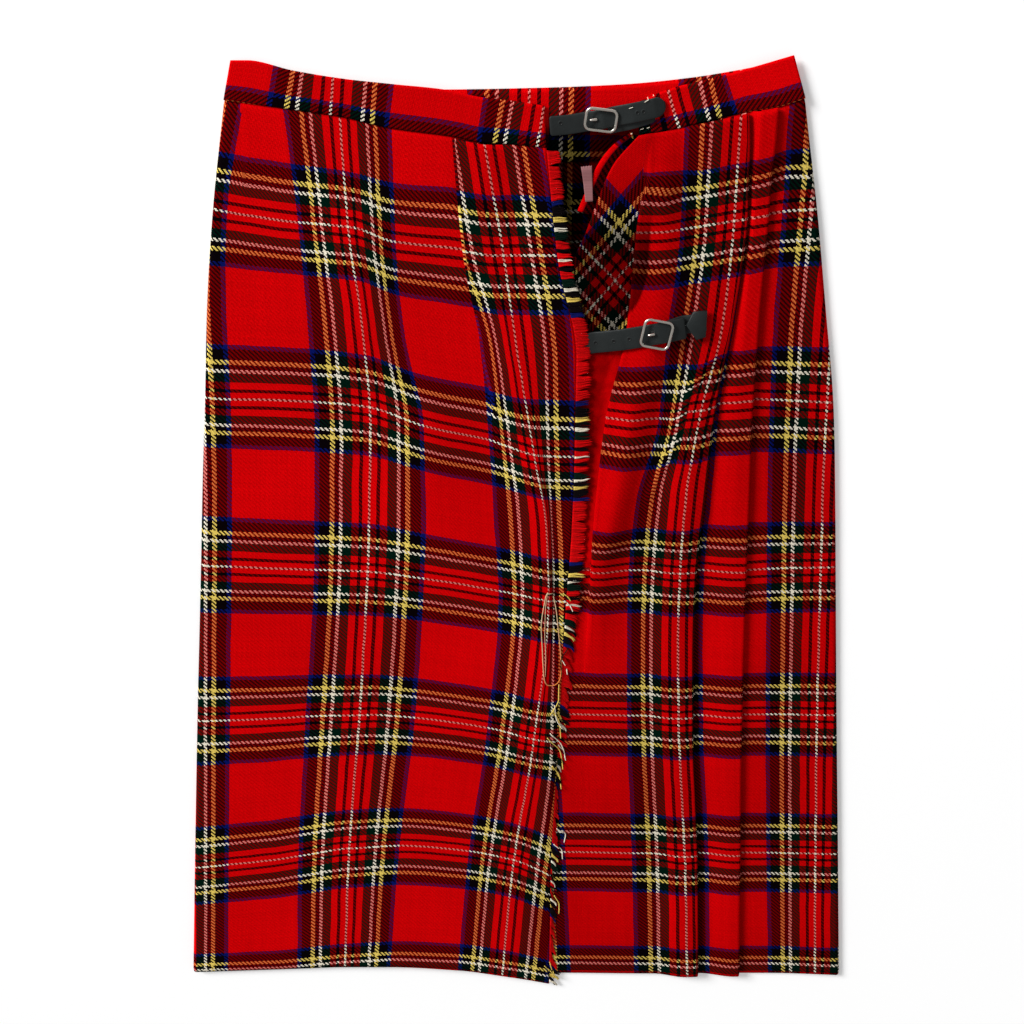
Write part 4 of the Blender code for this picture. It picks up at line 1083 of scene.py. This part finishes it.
# %% Panels
def inside_shade(points):
    """Painted shade on the hip panel: all of it a little darker, and the turned cloth in the opening darker downwards
    and towards its fold.
    """
    x, d = points[..., 0], points[..., 1]
    line = smooth([row[1] for row in OPENING_LINE], [row[0] for row in OPENING_LINE], d.ravel()).reshape(d.shape)
    inside = ramp((line - x) / 1.5)
    # painted shade down the opening and beside the fold, less below the lower strap
    opening_shade = (0.42 * ramp((d - 92) / 24) + 0.15 * np.exp(-np.abs(line - x) / 6)) * (1 - 0.55 * ramp((d - 180) / 10))
    return RIGHT_FRONT_SHADE * (1 - inside * opening_shade)


RIGHT_FRONT_SHADE = 0.91                   # painted shade: the whole right front is a little darker, for the light falling off towards the right
OPENING_LINE = ((84, 88), (83, 130), (79, 150), (70, 166), (62, 189), (57, 229), (54, 276), (48, 335), (40, 352), (0, 360))
over_apron = shell("over_apron_cloth", apron_points, apron_counts, CLOTH)
hip_panel = shell("hip_panel_cloth", hip_points, hip_counts, CLOTH, inside_shade(hip_points))


def back_surface(rows, columns):
    """Points and sett counts of the back, a gap inside the front's side folds."""
    inset = CLOTH + 3 * GAP
    level = np.linspace(APRON_DOWN[0][0], BACK_HEM, rows)
    left_side = np.array([(row[0], place[0]) for row, place in zip(APRON_DOWN, APRON_ACROSS)])
    right_side = np.array([(row[-1], place[-1]) for row, place in zip(HIP_DOWN, HIP_ACROSS)])
    left = np.interp(level, *left_side.T) + inset
    right = np.interp(level, *right_side.T) - inset
    across = left[:, None] + (right - left)[:, None] * np.linspace(0.0, 1.0, columns)
    top = edge_line(BACK_BAND_SEAM, across[0])[:, 1] + 2 * GAP
    down = top + (BACK_HEM - top) * np.linspace(0.0, 1.0, rows)[:, None]
    points = np.stack([across, down, np.full_like(across, FLOOR_LAYER)], axis=2)
    return points, np.stack([BACK_MIDDLE[1] + (across - BACK_MIDDLE[0]) / SETT,
                             1 + (down - BACK_WEFT) / SETT], axis=2)


BACK_MIDDLE = (6.4, 3.0)     # where the back's middle stripe lies across, and its sett count
BACK_WEFT = 116.0            # how far down its first full stripe group lies
back_points, back_counts = back_surface(90, 60)
# painted shade: the back's inside, seen between the fronts, lies in their shadow
back_shade = 0.3 + 0.0 * back_points[..., 0]
back_panel = shell("back_cloth", back_points, back_counts, CLOTH, back_shade)

# %% Waistbands
BAND_SEAM_THREAD = 34.5      # thread of the chart at the seam, and the number of threads up to the top
BAND_THREADS = 35.0


def band_counts(points, top_knots, seam_knots, setts, seam_thread):
    """Sett counts on a waistband, between stripes placed along its top and along its seam."""
    rows = points.shape[0]
    part = np.linspace(0, 1, rows)[:, None]
    knots = np.array(top_knots, float) * (1 - part) + np.array(seam_knots, float) * part
    values = np.broadcast_to(np.array(setts, float), knots.shape)
    across = line_rows(knots, values, points[..., 0])
    thread = seam_thread + (1 - part) * BAND_THREADS
    return np.stack([across, thread / THREADS + 0 * across], axis=2)


BAND_LEVEL = UNDER_LAYER + CLOTH / 2 + GAP + BAND / 2
SEAM_GAP = np.array([0, -0.4])

apron_seam = tuple(zip(APRON_ACROSS[0], APRON_DOWN[0])) - SEAM_GAP
apron_band_points = band_surface(APRON_BAND_TOP, apron_seam, BAND_LEVEL, 200, 34)
frayed = BAND_SEAM_THREAD - 1.1 * np.exp(-((apron_band_points[..., 0] + 178) / 32) ** 2)
apron_band_counts = band_counts(
    apron_band_points,
    (-174, -147, -135.6, -129.7, -111.8, -92.5, -86.4, -75.6, -21, -9.5, -3.4, 15.5, 20),
    (-180, -152.5, -141, -134.6, -114.6, -95.8, -89.2, -80.1, -25.5, -15.1, -8.3, 11.4, 18),
    (0.50, 0.71, 0.80, 0.85, 1, 1.15, 1.20, 1.29, 1.71, 1.80, 1.85, 2, 2.04), frayed)
apron_band = shell("apron_waistband_cloth", apron_band_points, apron_band_counts, BAND)

hip_seam = tuple(zip(HIP_ACROSS[0], HIP_DOWN[0])) - SEAM_GAP
hip_band_points = band_surface(HIP_BAND_TOP, hip_seam, BAND_LEVEL, 120, 34)
frayed = BAND_SEAM_THREAD - 1.1 * ramp((hip_band_points[..., 0] - 128) / 10)
hip_band_counts = band_counts(
    hip_band_points,
    (71, 90.2, 108.7, 115.9, 124.3, 166), (73, 98.5, 115.9, 122.6, 133.2, 175),
    (3.86, 4, 4.15, 4.20, 4.29, 4.61), frayed)
hip_band = shell("hip_waistband_cloth", hip_band_points, hip_band_counts, BAND)

back_band_points = band_surface(BACK_BAND_TOP, BACK_BAND_SEAM, FLOOR_LAYER, 100, 12)
facing_points = band_surface(FACING_TOP, FACING_RAW, UNDER_LAYER, 160, 30)


def inside_counts(points):
    """Sett counts on the inside of the back, which shows between the fronts."""
    across = BACK_MIDDLE[1] + (points[..., 0] - BACK_MIDDLE[0]) / SETT
    thread = 32 + (60.0 - points[..., 1]) * THREADS / SETT
    return np.stack([across, thread / THREADS], axis=2)


back_band = shell("back_waistband_cloth", back_band_points, inside_counts(back_band_points), CLOTH)
# painted shade: the facing is darker below its top, where it lies under the fronts
facing_shade = 1.0 - 0.62 * ramp((facing_points[..., 1] - 40) / 8)
facing = shell("waist_facing_cloth", facing_points, inside_counts(facing_points), CLOTH, facing_shade)


def strip_surface(first_edge, second_edge, height, columns, rows):
    """Middle of a flat strip between two edges, each given as (across, down) points."""
    keys = np.linspace(0, 1, len(first_edge))
    first = smooth(keys, first_edge, np.linspace(0, 1, columns))
    second = smooth(keys, second_edge, np.linspace(0, 1, columns))
    part = np.linspace(0, 1, rows)[:, None, None]
    flat = first + (second - first) * part
    return np.concatenate([flat, np.full(flat.shape[:2] + (1,), float(height))], axis=2)


INNER_LEVEL = UNDER_LAYER + CLOTH / 2 + GAP + INNER_BAND / 2
inner_points = strip_surface(INNER_BAND_TOP, INNER_BAND_SEAM, INNER_LEVEL, 60, 16)
part = np.linspace(0, 1, 16)[:, None]
inner_across = 3.80 - 0.42 * np.linspace(0, 1, 60)
inner_thread = np.where(part < 0.14, 63, 45 - 13 * part)
inner_counts = np.stack([inner_across + 0 * part, inner_thread / THREADS + 0 * inner_across], axis=2)
# painted shade: the inner waistband is darker below its top edge, in the shade of the opening
inner_shade = np.where(part < 0.14, 0.95, 0.55) + 0 * inner_across
inner_band = shell("inner_waistband_cloth", inner_points, inner_counts, INNER_BAND, inner_shade)
print("cloth pieces made")

# %% [markdown]
# ## What lies on the cloth
#
# Straps, buckles and the fringe rest on what is under them. A plumb line dropped on the solids
# gives the height at each place, with the rule the solids were made by: a strap rests on the
# highest thing under each cross-section and comes down no faster than stiff leather bends.

# %% Plumb lines and straps
def tree_of(*names):
    """Something to drop plumb lines on: the faces of these solids."""
    points, faces = [], []
    for name in names:
        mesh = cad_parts[name].data
        start = len(points)
        points.extend(vertex.co.copy() for vertex in mesh.vertices)
        faces.extend([start + index for index in face.vertices] for face in mesh.polygons)
    return BVHTree.FromPolygons(points, faces)


def ground_height(tree, across, down):
    """Height in mm of what lies under a place."""
    spot = Vector(to_metres((across, down, 100.0)).tolist())
    hit = tree.ray_cast(spot, Vector((0.0, 0.0, -1.0)))[0]
    return hit.z / MM if hit else 0.0


CLOTH_NODES = ("back_panel", "back_waistband", "waist_facing", "hip_panel", "over_apron",
               "apron_waistband", "hip_waistband", "inner_waistband")


def strap_line(tree, route, width, thickness, count):
    """Middle line of a strap over what is under it: across, down and height, and its side direction."""
    route = np.array(route, float)
    middle = smooth(np.linspace(0, 1, len(route)), route, np.linspace(0, 1, count))
    along = np.gradient(middle, axis=0)
    along /= np.linalg.norm(along, axis=1, keepdims=True)
    beside = np.stack([-along[:, 1], along[:, 0]], axis=1)
    under = np.zeros(count)
    for row in range(count):
        for offset in np.linspace(-width / 2 - PROBE_MARGIN, width / 2 + PROBE_MARGIN, 9):
            for reach in np.linspace(-PROBE_REACH, PROBE_REACH, 3):
                spot = middle[row] + beside[row] * offset + along[row] * reach
                under[row] = max(under[row], ground_height(tree, *spot))
    drop = STRAP_FALL * np.linalg.norm(np.diff(middle, axis=0), axis=1).mean()
    for row in range(1, count):
        under[row] = max(under[row], under[row - 1] - drop)
    for row in range(count - 2, -1, -1):
        under[row] = max(under[row], under[row + 1] - drop)
    return np.column_stack([middle, under + GAP + thickness / 2]), beside


def strap_mesh(name, line, beside, width, thickness, rounded_tip=False, arch=None):
    """A leather strap: a flat section with rounded edges, swept along its middle line."""
    count = len(line)
    length = np.linalg.norm(np.diff(line[:, :2], axis=0), axis=1)
    from_start = np.concatenate([[0.0], np.cumsum(length)])
    share = np.ones(count)
    if rounded_tip:
        inside = np.clip(from_start[-1] - from_start, 0.3, width / 2)
        share = np.sqrt(1 - (1 - inside / (width / 2)) ** 2)
    centre = line.copy()
    if arch:
        middle, spread, rise = arch
        centre[:, 2] += rise * np.exp(-((centre[:, 0] - middle) / spread) ** 2)
    angle = np.linspace(0, 2 * math.pi, 25)[:-1]
    square = 0.35
    wide = np.sign(np.cos(angle)) * np.abs(np.cos(angle)) ** square
    high = np.sign(np.sin(angle)) * np.abs(np.sin(angle)) ** square
    edge = np.ones(count)
    edge[[0, -1]] = 0.8
    side = (width / 2) * (share * edge)[:, None] * wide
    rise = (thickness / 2) * edge[:, None] * high
    flat = centre[:, None, :2] + beside[:, None] * side[:, :, None]
    points = np.concatenate([flat, (centre[:, None, 2] + rise)[:, :, None]], axis=2)
    index = np.arange(count * 24).reshape(count, 24)
    turned = np.roll(index, -1, axis=1)
    walls = np.stack([index[:-1], index[1:], turned[1:], turned[:-1]], axis=2).reshape(-1, 4)
    caps = np.stack([index[0], index[-1, ::-1]])
    made = make_mesh(name, points.reshape(-1, 3), [walls, caps])
    made.data.materials.append(leather)
    return made


cloth_tree = tree_of(*CLOTH_NODES, "waist_ribbon")
waist_chape = strap_mesh("waist_chape_leather", *strap_line(
    cloth_tree, WAIST_CHAPE, WAIST_CHAPE_WIDTH, LEATHER, 24), WAIST_CHAPE_WIDTH, LEATHER)
hip_chape = strap_mesh("hip_chape_leather", *strap_line(
    cloth_tree, HIP_CHAPE, HIP_CHAPE_WIDTH, LEATHER, 24), HIP_CHAPE_WIDTH, LEATHER)
chape_tree = tree_of(*CLOTH_NODES, "waist_ribbon", "waist_chape", "hip_chape")
waist_line = strap_line(chape_tree, WAIST_STRAP, WAIST_WIDTH, LEATHER, 70)
hip_line = strap_line(chape_tree, HIP_STRAP, HIP_WIDTH, LEATHER, 60)
waist_strap = strap_mesh("waist_strap_leather", *waist_line, WAIST_WIDTH, LEATHER, rounded_tip=True, arch=(50, 6, 0.9))
hip_strap = strap_mesh("hip_strap_leather", *hip_line, HIP_WIDTH, LEATHER)
print("straps and chapes made")

# %% The pointed tab
tab_low, tab_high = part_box("hip_tab")
corners = np.array([HIP_TAB[key] for key in ("tip", "top", "end_top", "end_low", "low")], float)
inner = corners.mean(axis=0) + (corners - corners.mean(axis=0)) * 0.92
rings = []
for flat, height in ((corners, tab_low[2] / MM), (corners, tab_high[2] / MM - 0.4), (inner, tab_high[2] / MM)):
    rings.append(np.column_stack([flat, np.full(5, height)]))
rings = np.array(rings)
index = np.arange(15).reshape(3, 5)
turned = np.roll(index, -1, axis=1)
walls = np.stack([index[:-1], turned[:-1], turned[1:], index[1:]], axis=2).reshape(-1, 4)
hip_tab = make_mesh("hip_tab_leather", rings.reshape(-1, 3), [walls[:, ::-1], np.stack([index[0], index[-1, ::-1]])])
hip_tab.data.materials.append(leather)

# %% Buckles and prongs
def rounded_frame(at, size, turn, level, wire=0.9, flatten=0.85):
    """A rectangular wire frame with round corners, its wire a little flattened."""
    half = np.array(size, float) / 2 - wire
    sweep = np.linspace(0, math.pi / 2, 9)
    line = []
    for quarter, sign in enumerate(((1, 1), (-1, 1), (-1, -1), (1, -1))):
        angle = sweep + quarter * math.pi / 2
        line.append((half - BUCKLE_CORNER) * sign + BUCKLE_CORNER * np.stack([np.cos(angle), np.sin(angle)], axis=1))
    line = np.concatenate(line)
    after = np.roll(line, -1, axis=0) - np.roll(line, 1, axis=0)
    outward = np.stack([after[:, 1], -after[:, 0]], axis=1)
    outward /= np.linalg.norm(outward, axis=1, keepdims=True)
    angle = np.arange(12) * math.pi / 6
    side = line[:, None] + wire * outward[:, None] * np.cos(angle)[None, :, None]
    up = np.broadcast_to(level + wire * flatten * np.sin(angle), side.shape[:2])
    heading = math.radians(turn)
    turned = np.array([[math.cos(heading), -math.sin(heading)], [math.sin(heading), math.cos(heading)]])
    flat = np.array(at) + side @ turned.T
    points = np.concatenate([flat, up[:, :, None]], axis=2)
    index = np.arange(points.shape[0] * 12).reshape(-1, 12)
    ahead = np.roll(index, -1, axis=0)
    walls = np.stack([index, np.roll(index, -1, axis=1), np.roll(ahead, -1, axis=1), ahead], axis=2).reshape(-1, 4)
    return points.reshape(-1, 3), walls


def buckle(name, node, sizes):
    """The buckle frame in the place of its solid."""
    low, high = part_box(node)
    level = (low[2] + high[2]) / 2 / MM
    points, walls = rounded_frame(sizes["at"], sizes["size"], sizes["turn"], level)
    if sizes["tip"]:
        lean = math.tan(math.radians(sizes["tip"]))
        points[:, 2] -= (points[:, 1] - sizes["at"][1]) * lean
    made = make_mesh(name, points, [walls])
    made.data.materials.append(nickel)
    return made


def prong(name, node, start, end):
    """A tapered rod with a blunt end."""
    low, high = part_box(node)
    level = (low[2] + high[2]) / 2 / MM
    share = np.linspace(0, 1, 14)
    path = np.array(start, float) + (np.array(end, float) - np.array(start, float)) * share[:, None]
    path = np.column_stack([path, level + 0.3 * np.sin(math.pi * share)])
    radius = PRONG_RADIUS * np.interp(share, (0, 0.08, 0.75, 0.95, 1), (0.3, 0.95, 0.8, 0.5, 0.1))
    made = tubes(name, path[None], radius[None], 12)
    made.data.materials.append(nickel)
    return made


waist_buckle = buckle("waist_buckle_frame", "waist_buckle", WAIST_BUCKLE)
hip_buckle = buckle("hip_buckle_frame", "hip_buckle", HIP_BUCKLE)
waist_prong = prong("waist_prong_rod", "waist_prong", *WAIST_PRONG)
hip_prong = prong("hip_prong_rod", "hip_prong", *HIP_PRONG)

# %% The ribbon
ribbon_line, ribbon_side = strap_line(tree_of(*CLOTH_NODES), RIBBON_ROUTE, RIBBON_WIDTH, RIBBON, 24)
across_part = np.linspace(-0.5, 0.5, 17)
ribbon_wide = RIBBON_WIDTH * np.linspace(0.85, 0.6, 24)[None, :, None]
ribbon_flat = ribbon_line[None, :, :2] + ribbon_side[None] * across_part[:, None, None] * ribbon_wide
ribbon_points = np.concatenate([ribbon_flat, np.broadcast_to(ribbon_line[None, :, 2:], ribbon_flat.shape[:2] + (1,))], axis=2)
pinked = 0.9 * np.abs(((across_part + 0.5) * 4) % 1.0 - 0.5)
ribbon_points[:, 0, 1] -= pinked
ribbon = shell("ribbon_satin", ribbon_points, np.zeros(ribbon_points.shape[:2] + (2,)), RIBBON)
ribbon.data.materials.append(satin)

# %% The fringe
LOCK_THREADS = 11            # threads that hang together in the plain red stretches
FRINGE_SPACING = 1 / 152     # setts from thread to thread
FRINGE_SETTS = (0.46, 5.86)  # the stretch of the raw edge that is frayed
FRINGE_POINTS = 9
FRINGE_LENGTH = 11.0
# Along the raw edge: sett count, how far the threads hang down from straight out, how much more they
# curl down by their tips (both in degrees), and their length as a share of the full length.
HANG = ((0.44, -4, 4, 0.75), (1.3, 0, 6, 0.9), (2.5, 0, 5, 1.0), (2.95, 2, 8, 1.0), (3.15, 10, 55, 1.0), (3.6, 18, 50, 0.95),
        (3.75, 42, 10, 0.9), (4.1, 44, 16, 0.75), (4.4, 62, 20, 0.6), (4.7, 52, 20, 0.9), (5.2, 55, 22, 0.85), (5.88, 42, 20, 1.0))

draw = np.random.default_rng(11)
fringe_setts = np.arange(*FRINGE_SETTS, FRINGE_SPACING)
FRINGE_THREADS = len(fringe_setts)


def locks_of(setts):
    """Number of the lock of each thread, and its place in the lock from -1 to 1."""
    place = np.abs((setts + 0.5) % 1.0 - 0.5) * THREADS
    stripe = np.searchsorted(np.cumsum([count for colour, count in CHART]), place, side="right")
    run = np.concatenate([[0], np.cumsum(np.diff(stripe) != 0)])
    within = np.arange(len(setts)) - np.searchsorted(run, run)
    lock = np.unique(run * 10 + within // LOCK_THREADS, return_inverse=True)[1]
    size = np.bincount(lock)[lock]
    first = np.searchsorted(lock, lock)
    return lock, ((np.arange(len(setts)) - first + 0.5) / size - 0.5) * 2, size * FRINGE_SPACING * SETT / 2


lock, in_lock, half_lock = locks_of(fringe_setts)
edge = np.stack([np.interp(fringe_setts, apron_setts, line) for line in apron_points[:, -1].T], axis=1)
hang, curl, reach = smooth([row[0] for row in HANG], [row[1:] for row in HANG], fringe_setts).T
per_lock = draw.normal(0, 1, (3, lock.max() + 1))[:, lock]
share = np.linspace(0, 1, FRINGE_POINTS)
bend = np.radians(hang + 3.5 * per_lock[0] * (1 + hang / 20) + draw.normal(0, 1.6, FRINGE_THREADS))[:, None]
bend = bend + np.radians(curl)[:, None] * share + 0.16 * np.sin(share * 6 + 2 * per_lock[1][:, None] + in_lock[:, None])
length = FRINGE_LENGTH * reach * (1 + 0.05 * per_lock[2]) * (1 - 0.1 * in_lock ** 2) * draw.uniform(0.93, 1.04, FRINGE_THREADS)
step = (length / (FRINGE_POINTS - 1))[:, None, None] * np.stack([np.cos(bend), np.sin(bend)], axis=2)
flat = edge[:, None, :2] - step[:, :1] + np.cumsum(step, axis=1)
beside = np.stack([-np.sin(bend), np.cos(bend)], axis=2)
flat = flat - beside * ((in_lock * half_lock)[:, None] * 0.2 * ramp(share))[:, :, None]
fringe_tree = tree_of("back_panel", "waist_facing", "hip_panel", "inner_waistband")
ground = np.array([[ground_height(fringe_tree, *spot) for spot in row[::4]] for row in flat])
ground = np.array([np.interp(share, share[::4], row) for row in ground])
fall = edge[:, 2:] - 2.2 * share ** 1.5 + draw.uniform(-0.25, 0.4, FRINGE_THREADS)[:, None] * share
height = np.maximum(fall, ground + 0.55)
paths = np.concatenate([flat, height[:, :, None]], axis=2)
radius = np.interp(share, (0, 0.7, 0.95, 1), (0.46, 0.46, 0.34, 0.16)) * draw.uniform(0.85, 1.12, FRINGE_THREADS)[:, None]
tint = thread_colours(fringe_setts) * draw.uniform(0.7, 1.1, (FRINGE_THREADS, 1))
fringe = tubes("fringe_threads", paths, radius, 5, tint)
fringe.data.materials.append(loose)
print("fringe threads:", FRINGE_THREADS, "in", lock.max() + 1, "locks")

# %% [markdown]
# ## Loose ends
#
# A worn raw edge has yarns that have pulled out: one long loop in the middle of the over-apron and
# short two-coloured bundles further down. Each is a smooth curve through a few given places,
# dropped on to the cloth.

# %% Pulled yarns
PULLED_LOOP = ((25, 368), (20.7, 367), (18.7, 376), (16.7, 394), (17.6, 411), (18.4, 428), (19.3, 438), (21.5, 443.5),
               (25.9, 444.5), (30.2, 441), (31.5, 432), (30.6, 415), (28.9, 398), (27.3, 382), (25, 370))
THIN_YARN = ((21, 366), (19.6, 380), (19.3, 400), (20.2, 420), (20, 436))
# Short yarns: colour, from and to (across, down), how far the middle bows to the right.
SHORT_YARNS = (
    ("yellow", (30, 444), (24, 470), 3), ("white", (27, 462), (34, 486), -2), ("yellow", (26, 466), (32, 492), 2),
    ("white", (24, 486), (36, 512), 3), ("yellow", (22, 490), (34, 520), 4), ("black", (24, 492), (35, 516), -2),
    ("yellow", (26, 516), (33, 538), 2), ("black", (28, 514), (31, 540), -2), ("white", (32, 424), (36, 436), 1),
    ("white", (30, 575), (36, 590), 4), ("white", (28, 590), (35, 606), 3), ("yellow", (29, 640), (33, 660), 2),
    ("yellow", (22, 712), (31, 729), 2), ("black", (24, 712), (30, 730), -2), ("yellow", (26, 708), (33, 727), -1),
    ("white", (33, 374), (39, 383), 1), ("yellow", (32, 368), (38, 376), 1), ("green", (36, 414), (32, 436), -3),
    ("white", (74.4, 43.9), (76.4, 43.3), 0), ("white", (78.3, 43.2), (80, 42.5), 0), ("white", (68.6, 46.9), (70.6, 46.3), 0),
    ("white", (66.8, 30.4), (69, 29.6), 0), ("white", (76, 26.6), (78.5, 25), 0),
    ("white", (81.5, 23.8), (83.4, 22.5), 0))


STITCHES = 6                 # the last of them are stitches of the upper straps


def laid_yarns(curves, radius, rise):
    """Yarns of 40 points each, laid on what is under them."""
    routes = []
    for curve in curves:
        curve = np.array(curve, float)
        routes.append(smooth(np.linspace(0, 1, len(curve)), curve, np.linspace(0, 1, 40)))
    routes = np.array(routes)
    heights = np.array([[ground_height(yarn_tree, *spot) for spot in route] for route in routes])
    heights = np.maximum(heights, np.roll(heights, 1, axis=1)) + radius + rise
    return np.concatenate([routes, heights[:, :, None]], axis=2)


yarn_tree = tree_of("over_apron", "hip_panel", "apron_fringe", "hip_waistband", "waist_chape", "waist_strap", "inner_waistband")
short = [(start, ((start[0] + end[0]) / 2 + bow, (start[1] + end[1]) / 2), end) for colour, start, end, bow in SHORT_YARNS]
paths = laid_yarns([PULLED_LOOP, THIN_YARN] + short, 0.35, 0.2)
radius = np.full(paths.shape[:2], 0.36)
radius[0] = 0.34
radius[1] = 0.22
radius[-STITCHES:] = 0.2
shade_of = {name: np.array(colour) ** SCREEN_GAMMA for name, colour in PALETTE.items()}
loop_part = np.linspace(0, 1, 40)[:, None]
orange = np.array((0.8, 0.24, 0.05))
pale = np.array((0.68, 0.5, 0.3))
warmth = np.exp(-((loop_part - 0.62) / 0.22) ** 2)
tints = [pale + (orange - pale) * warmth, np.broadcast_to(pale, (40, 3))]
tints += [np.broadcast_to(shade_of[row[0]], (40, 3)) for row in SHORT_YARNS]
yarns = tubes("pulled_yarns", paths, radius, 6, np.array(tints))
yarns.data.materials.append(loose)
for piece in (over_apron, hip_panel, back_panel, apron_band, hip_band, back_band, facing, inner_band):
    piece.data.materials.append(wool)
print("pulled yarns:", len(paths))

# %% [markdown]
# ## Tie every piece to the frame
#
# Each piece stands for one solid, which is hidden, and rides on the part's only body. The table
# also lists a material slot for each piece.

# %% Bodies and hidden solids
STANDS_FOR = (
    (over_apron, "over_apron", "tartan"), (hip_panel, "hip_panel", "tartan"), (back_panel, "back_panel", "tartan"),
    (apron_band, "apron_waistband", "tartan"), (hip_band, "hip_waistband", "tartan"),
    (back_band, "back_waistband", "tartan"), (facing, "waist_facing", "tartan"),
    (inner_band, "inner_waistband", "tartan"), (fringe, "apron_fringe", "fringe"),
    (waist_strap, "waist_strap", "leather"), (waist_chape, "waist_chape", "leather"),
    (hip_strap, "hip_strap", "leather"), (hip_chape, "hip_chape", "leather"), (hip_tab, "hip_tab", "leather"),
    (waist_buckle, "waist_buckle", "nickel"), (hip_buckle, "hip_buckle", "nickel"),
    (waist_prong, "waist_prong", "nickel"), (hip_prong, "hip_prong", "nickel"), (ribbon, "waist_ribbon", "ribbon"),
)
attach(yarns, "root")
for piece, node, slot in STANDS_FOR:
    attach(piece, "root")
    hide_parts(node)


# %% Floor, light and camera
def flat_floor():
    """A pale floor, well beyond the picture."""
    mesh = bpy.data.meshes.new("floor")
    size = 3.0
    mesh.from_pydata([(-size, -size, -0.0003), (size, -size, -0.0003), (size, size, -0.0003), (-size, size, -0.0003)],
                     [], [(0, 1, 2, 3)])
    made = bpy.data.objects.new("floor", mesh)
    bpy.context.collection.objects.link(made)
    paint, tree, shader = new_material("floor_white")
    shader.inputs["Base Color"].default_value = (0.93, 0.93, 0.93, 1.0)
    shader.inputs["Roughness"].default_value = 0.8
    shader.inputs["Emission Color"].default_value = (1.0, 1.0, 1.0, 1.0)
    shader.inputs["Emission Strength"].default_value = 0.24
    mesh.materials.append(paint)
    return made


floor = flat_floor()


SUN_FROM = (-0.75, 0.6, 0.48)
SUN_STRENGTH = 3.5
SUN_SOFTNESS = 20.0


def area_light(name, place, target, size, power, colour=(1, 1, 1)):
    """A square soft light that faces its target."""
    lamp = bpy.data.lights.new(name, "AREA")
    lamp.shape = "SQUARE"
    lamp.size = size
    lamp.energy = power
    lamp.color = colour
    made = bpy.data.objects.new(name, lamp)
    made.location = place
    made.rotation_euler = (Vector(target) - Vector(place)).to_track_quat("-Z", "Y").to_euler()
    bpy.context.collection.objects.link(made)
    return made


sun = bpy.data.lights.new("window", "SUN")
sun.energy = SUN_STRENGTH
sun.angle = math.radians(SUN_SOFTNESS)
lamp = bpy.data.objects.new("window", sun)
lamp.rotation_euler = (-Vector(SUN_FROM)).to_track_quat("-Z", "Y").to_euler()
bpy.context.collection.objects.link(lamp)
area_light("waist_light", (-0.55, 0.75, 0.6), (-0.1, 0.2, 0), 0.5, 1.1)
world = bpy.data.worlds.new("studio")
world.use_nodes = True
world.node_tree.nodes["Background"].inputs[0].default_value = (1, 1, 1, 1)
world.node_tree.nodes["Background"].inputs[1].default_value = 0.3
scene = bpy.context.scene
scene.world = world
scene.view_settings.view_transform = "Standard"

CAMERA_DISTANCE = 1.076
CAMERA_TILT = math.radians(26.5)
look_at = Vector(((0 - MIDDLE_ACROSS - 4) * MM, (MIDDLE_DOWN - 308) * MM, 0))
away = Vector((0, math.sin(CAMERA_TILT), math.cos(CAMERA_TILT)))
up = Vector((0, math.cos(CAMERA_TILT), -math.sin(CAMERA_TILT)))
lens = bpy.data.cameras.new("camera")
lens.sensor_width = 36
lens.lens = 36 * 1560 / 1024
camera = bpy.data.objects.new("camera", lens)
camera.matrix_world = Matrix.Translation(look_at + away * CAMERA_DISTANCE) @ Matrix(
    (Vector((1, 0, 0)), up, away)).transposed().to_4x4()
bpy.context.collection.objects.link(camera)
scene.camera = camera
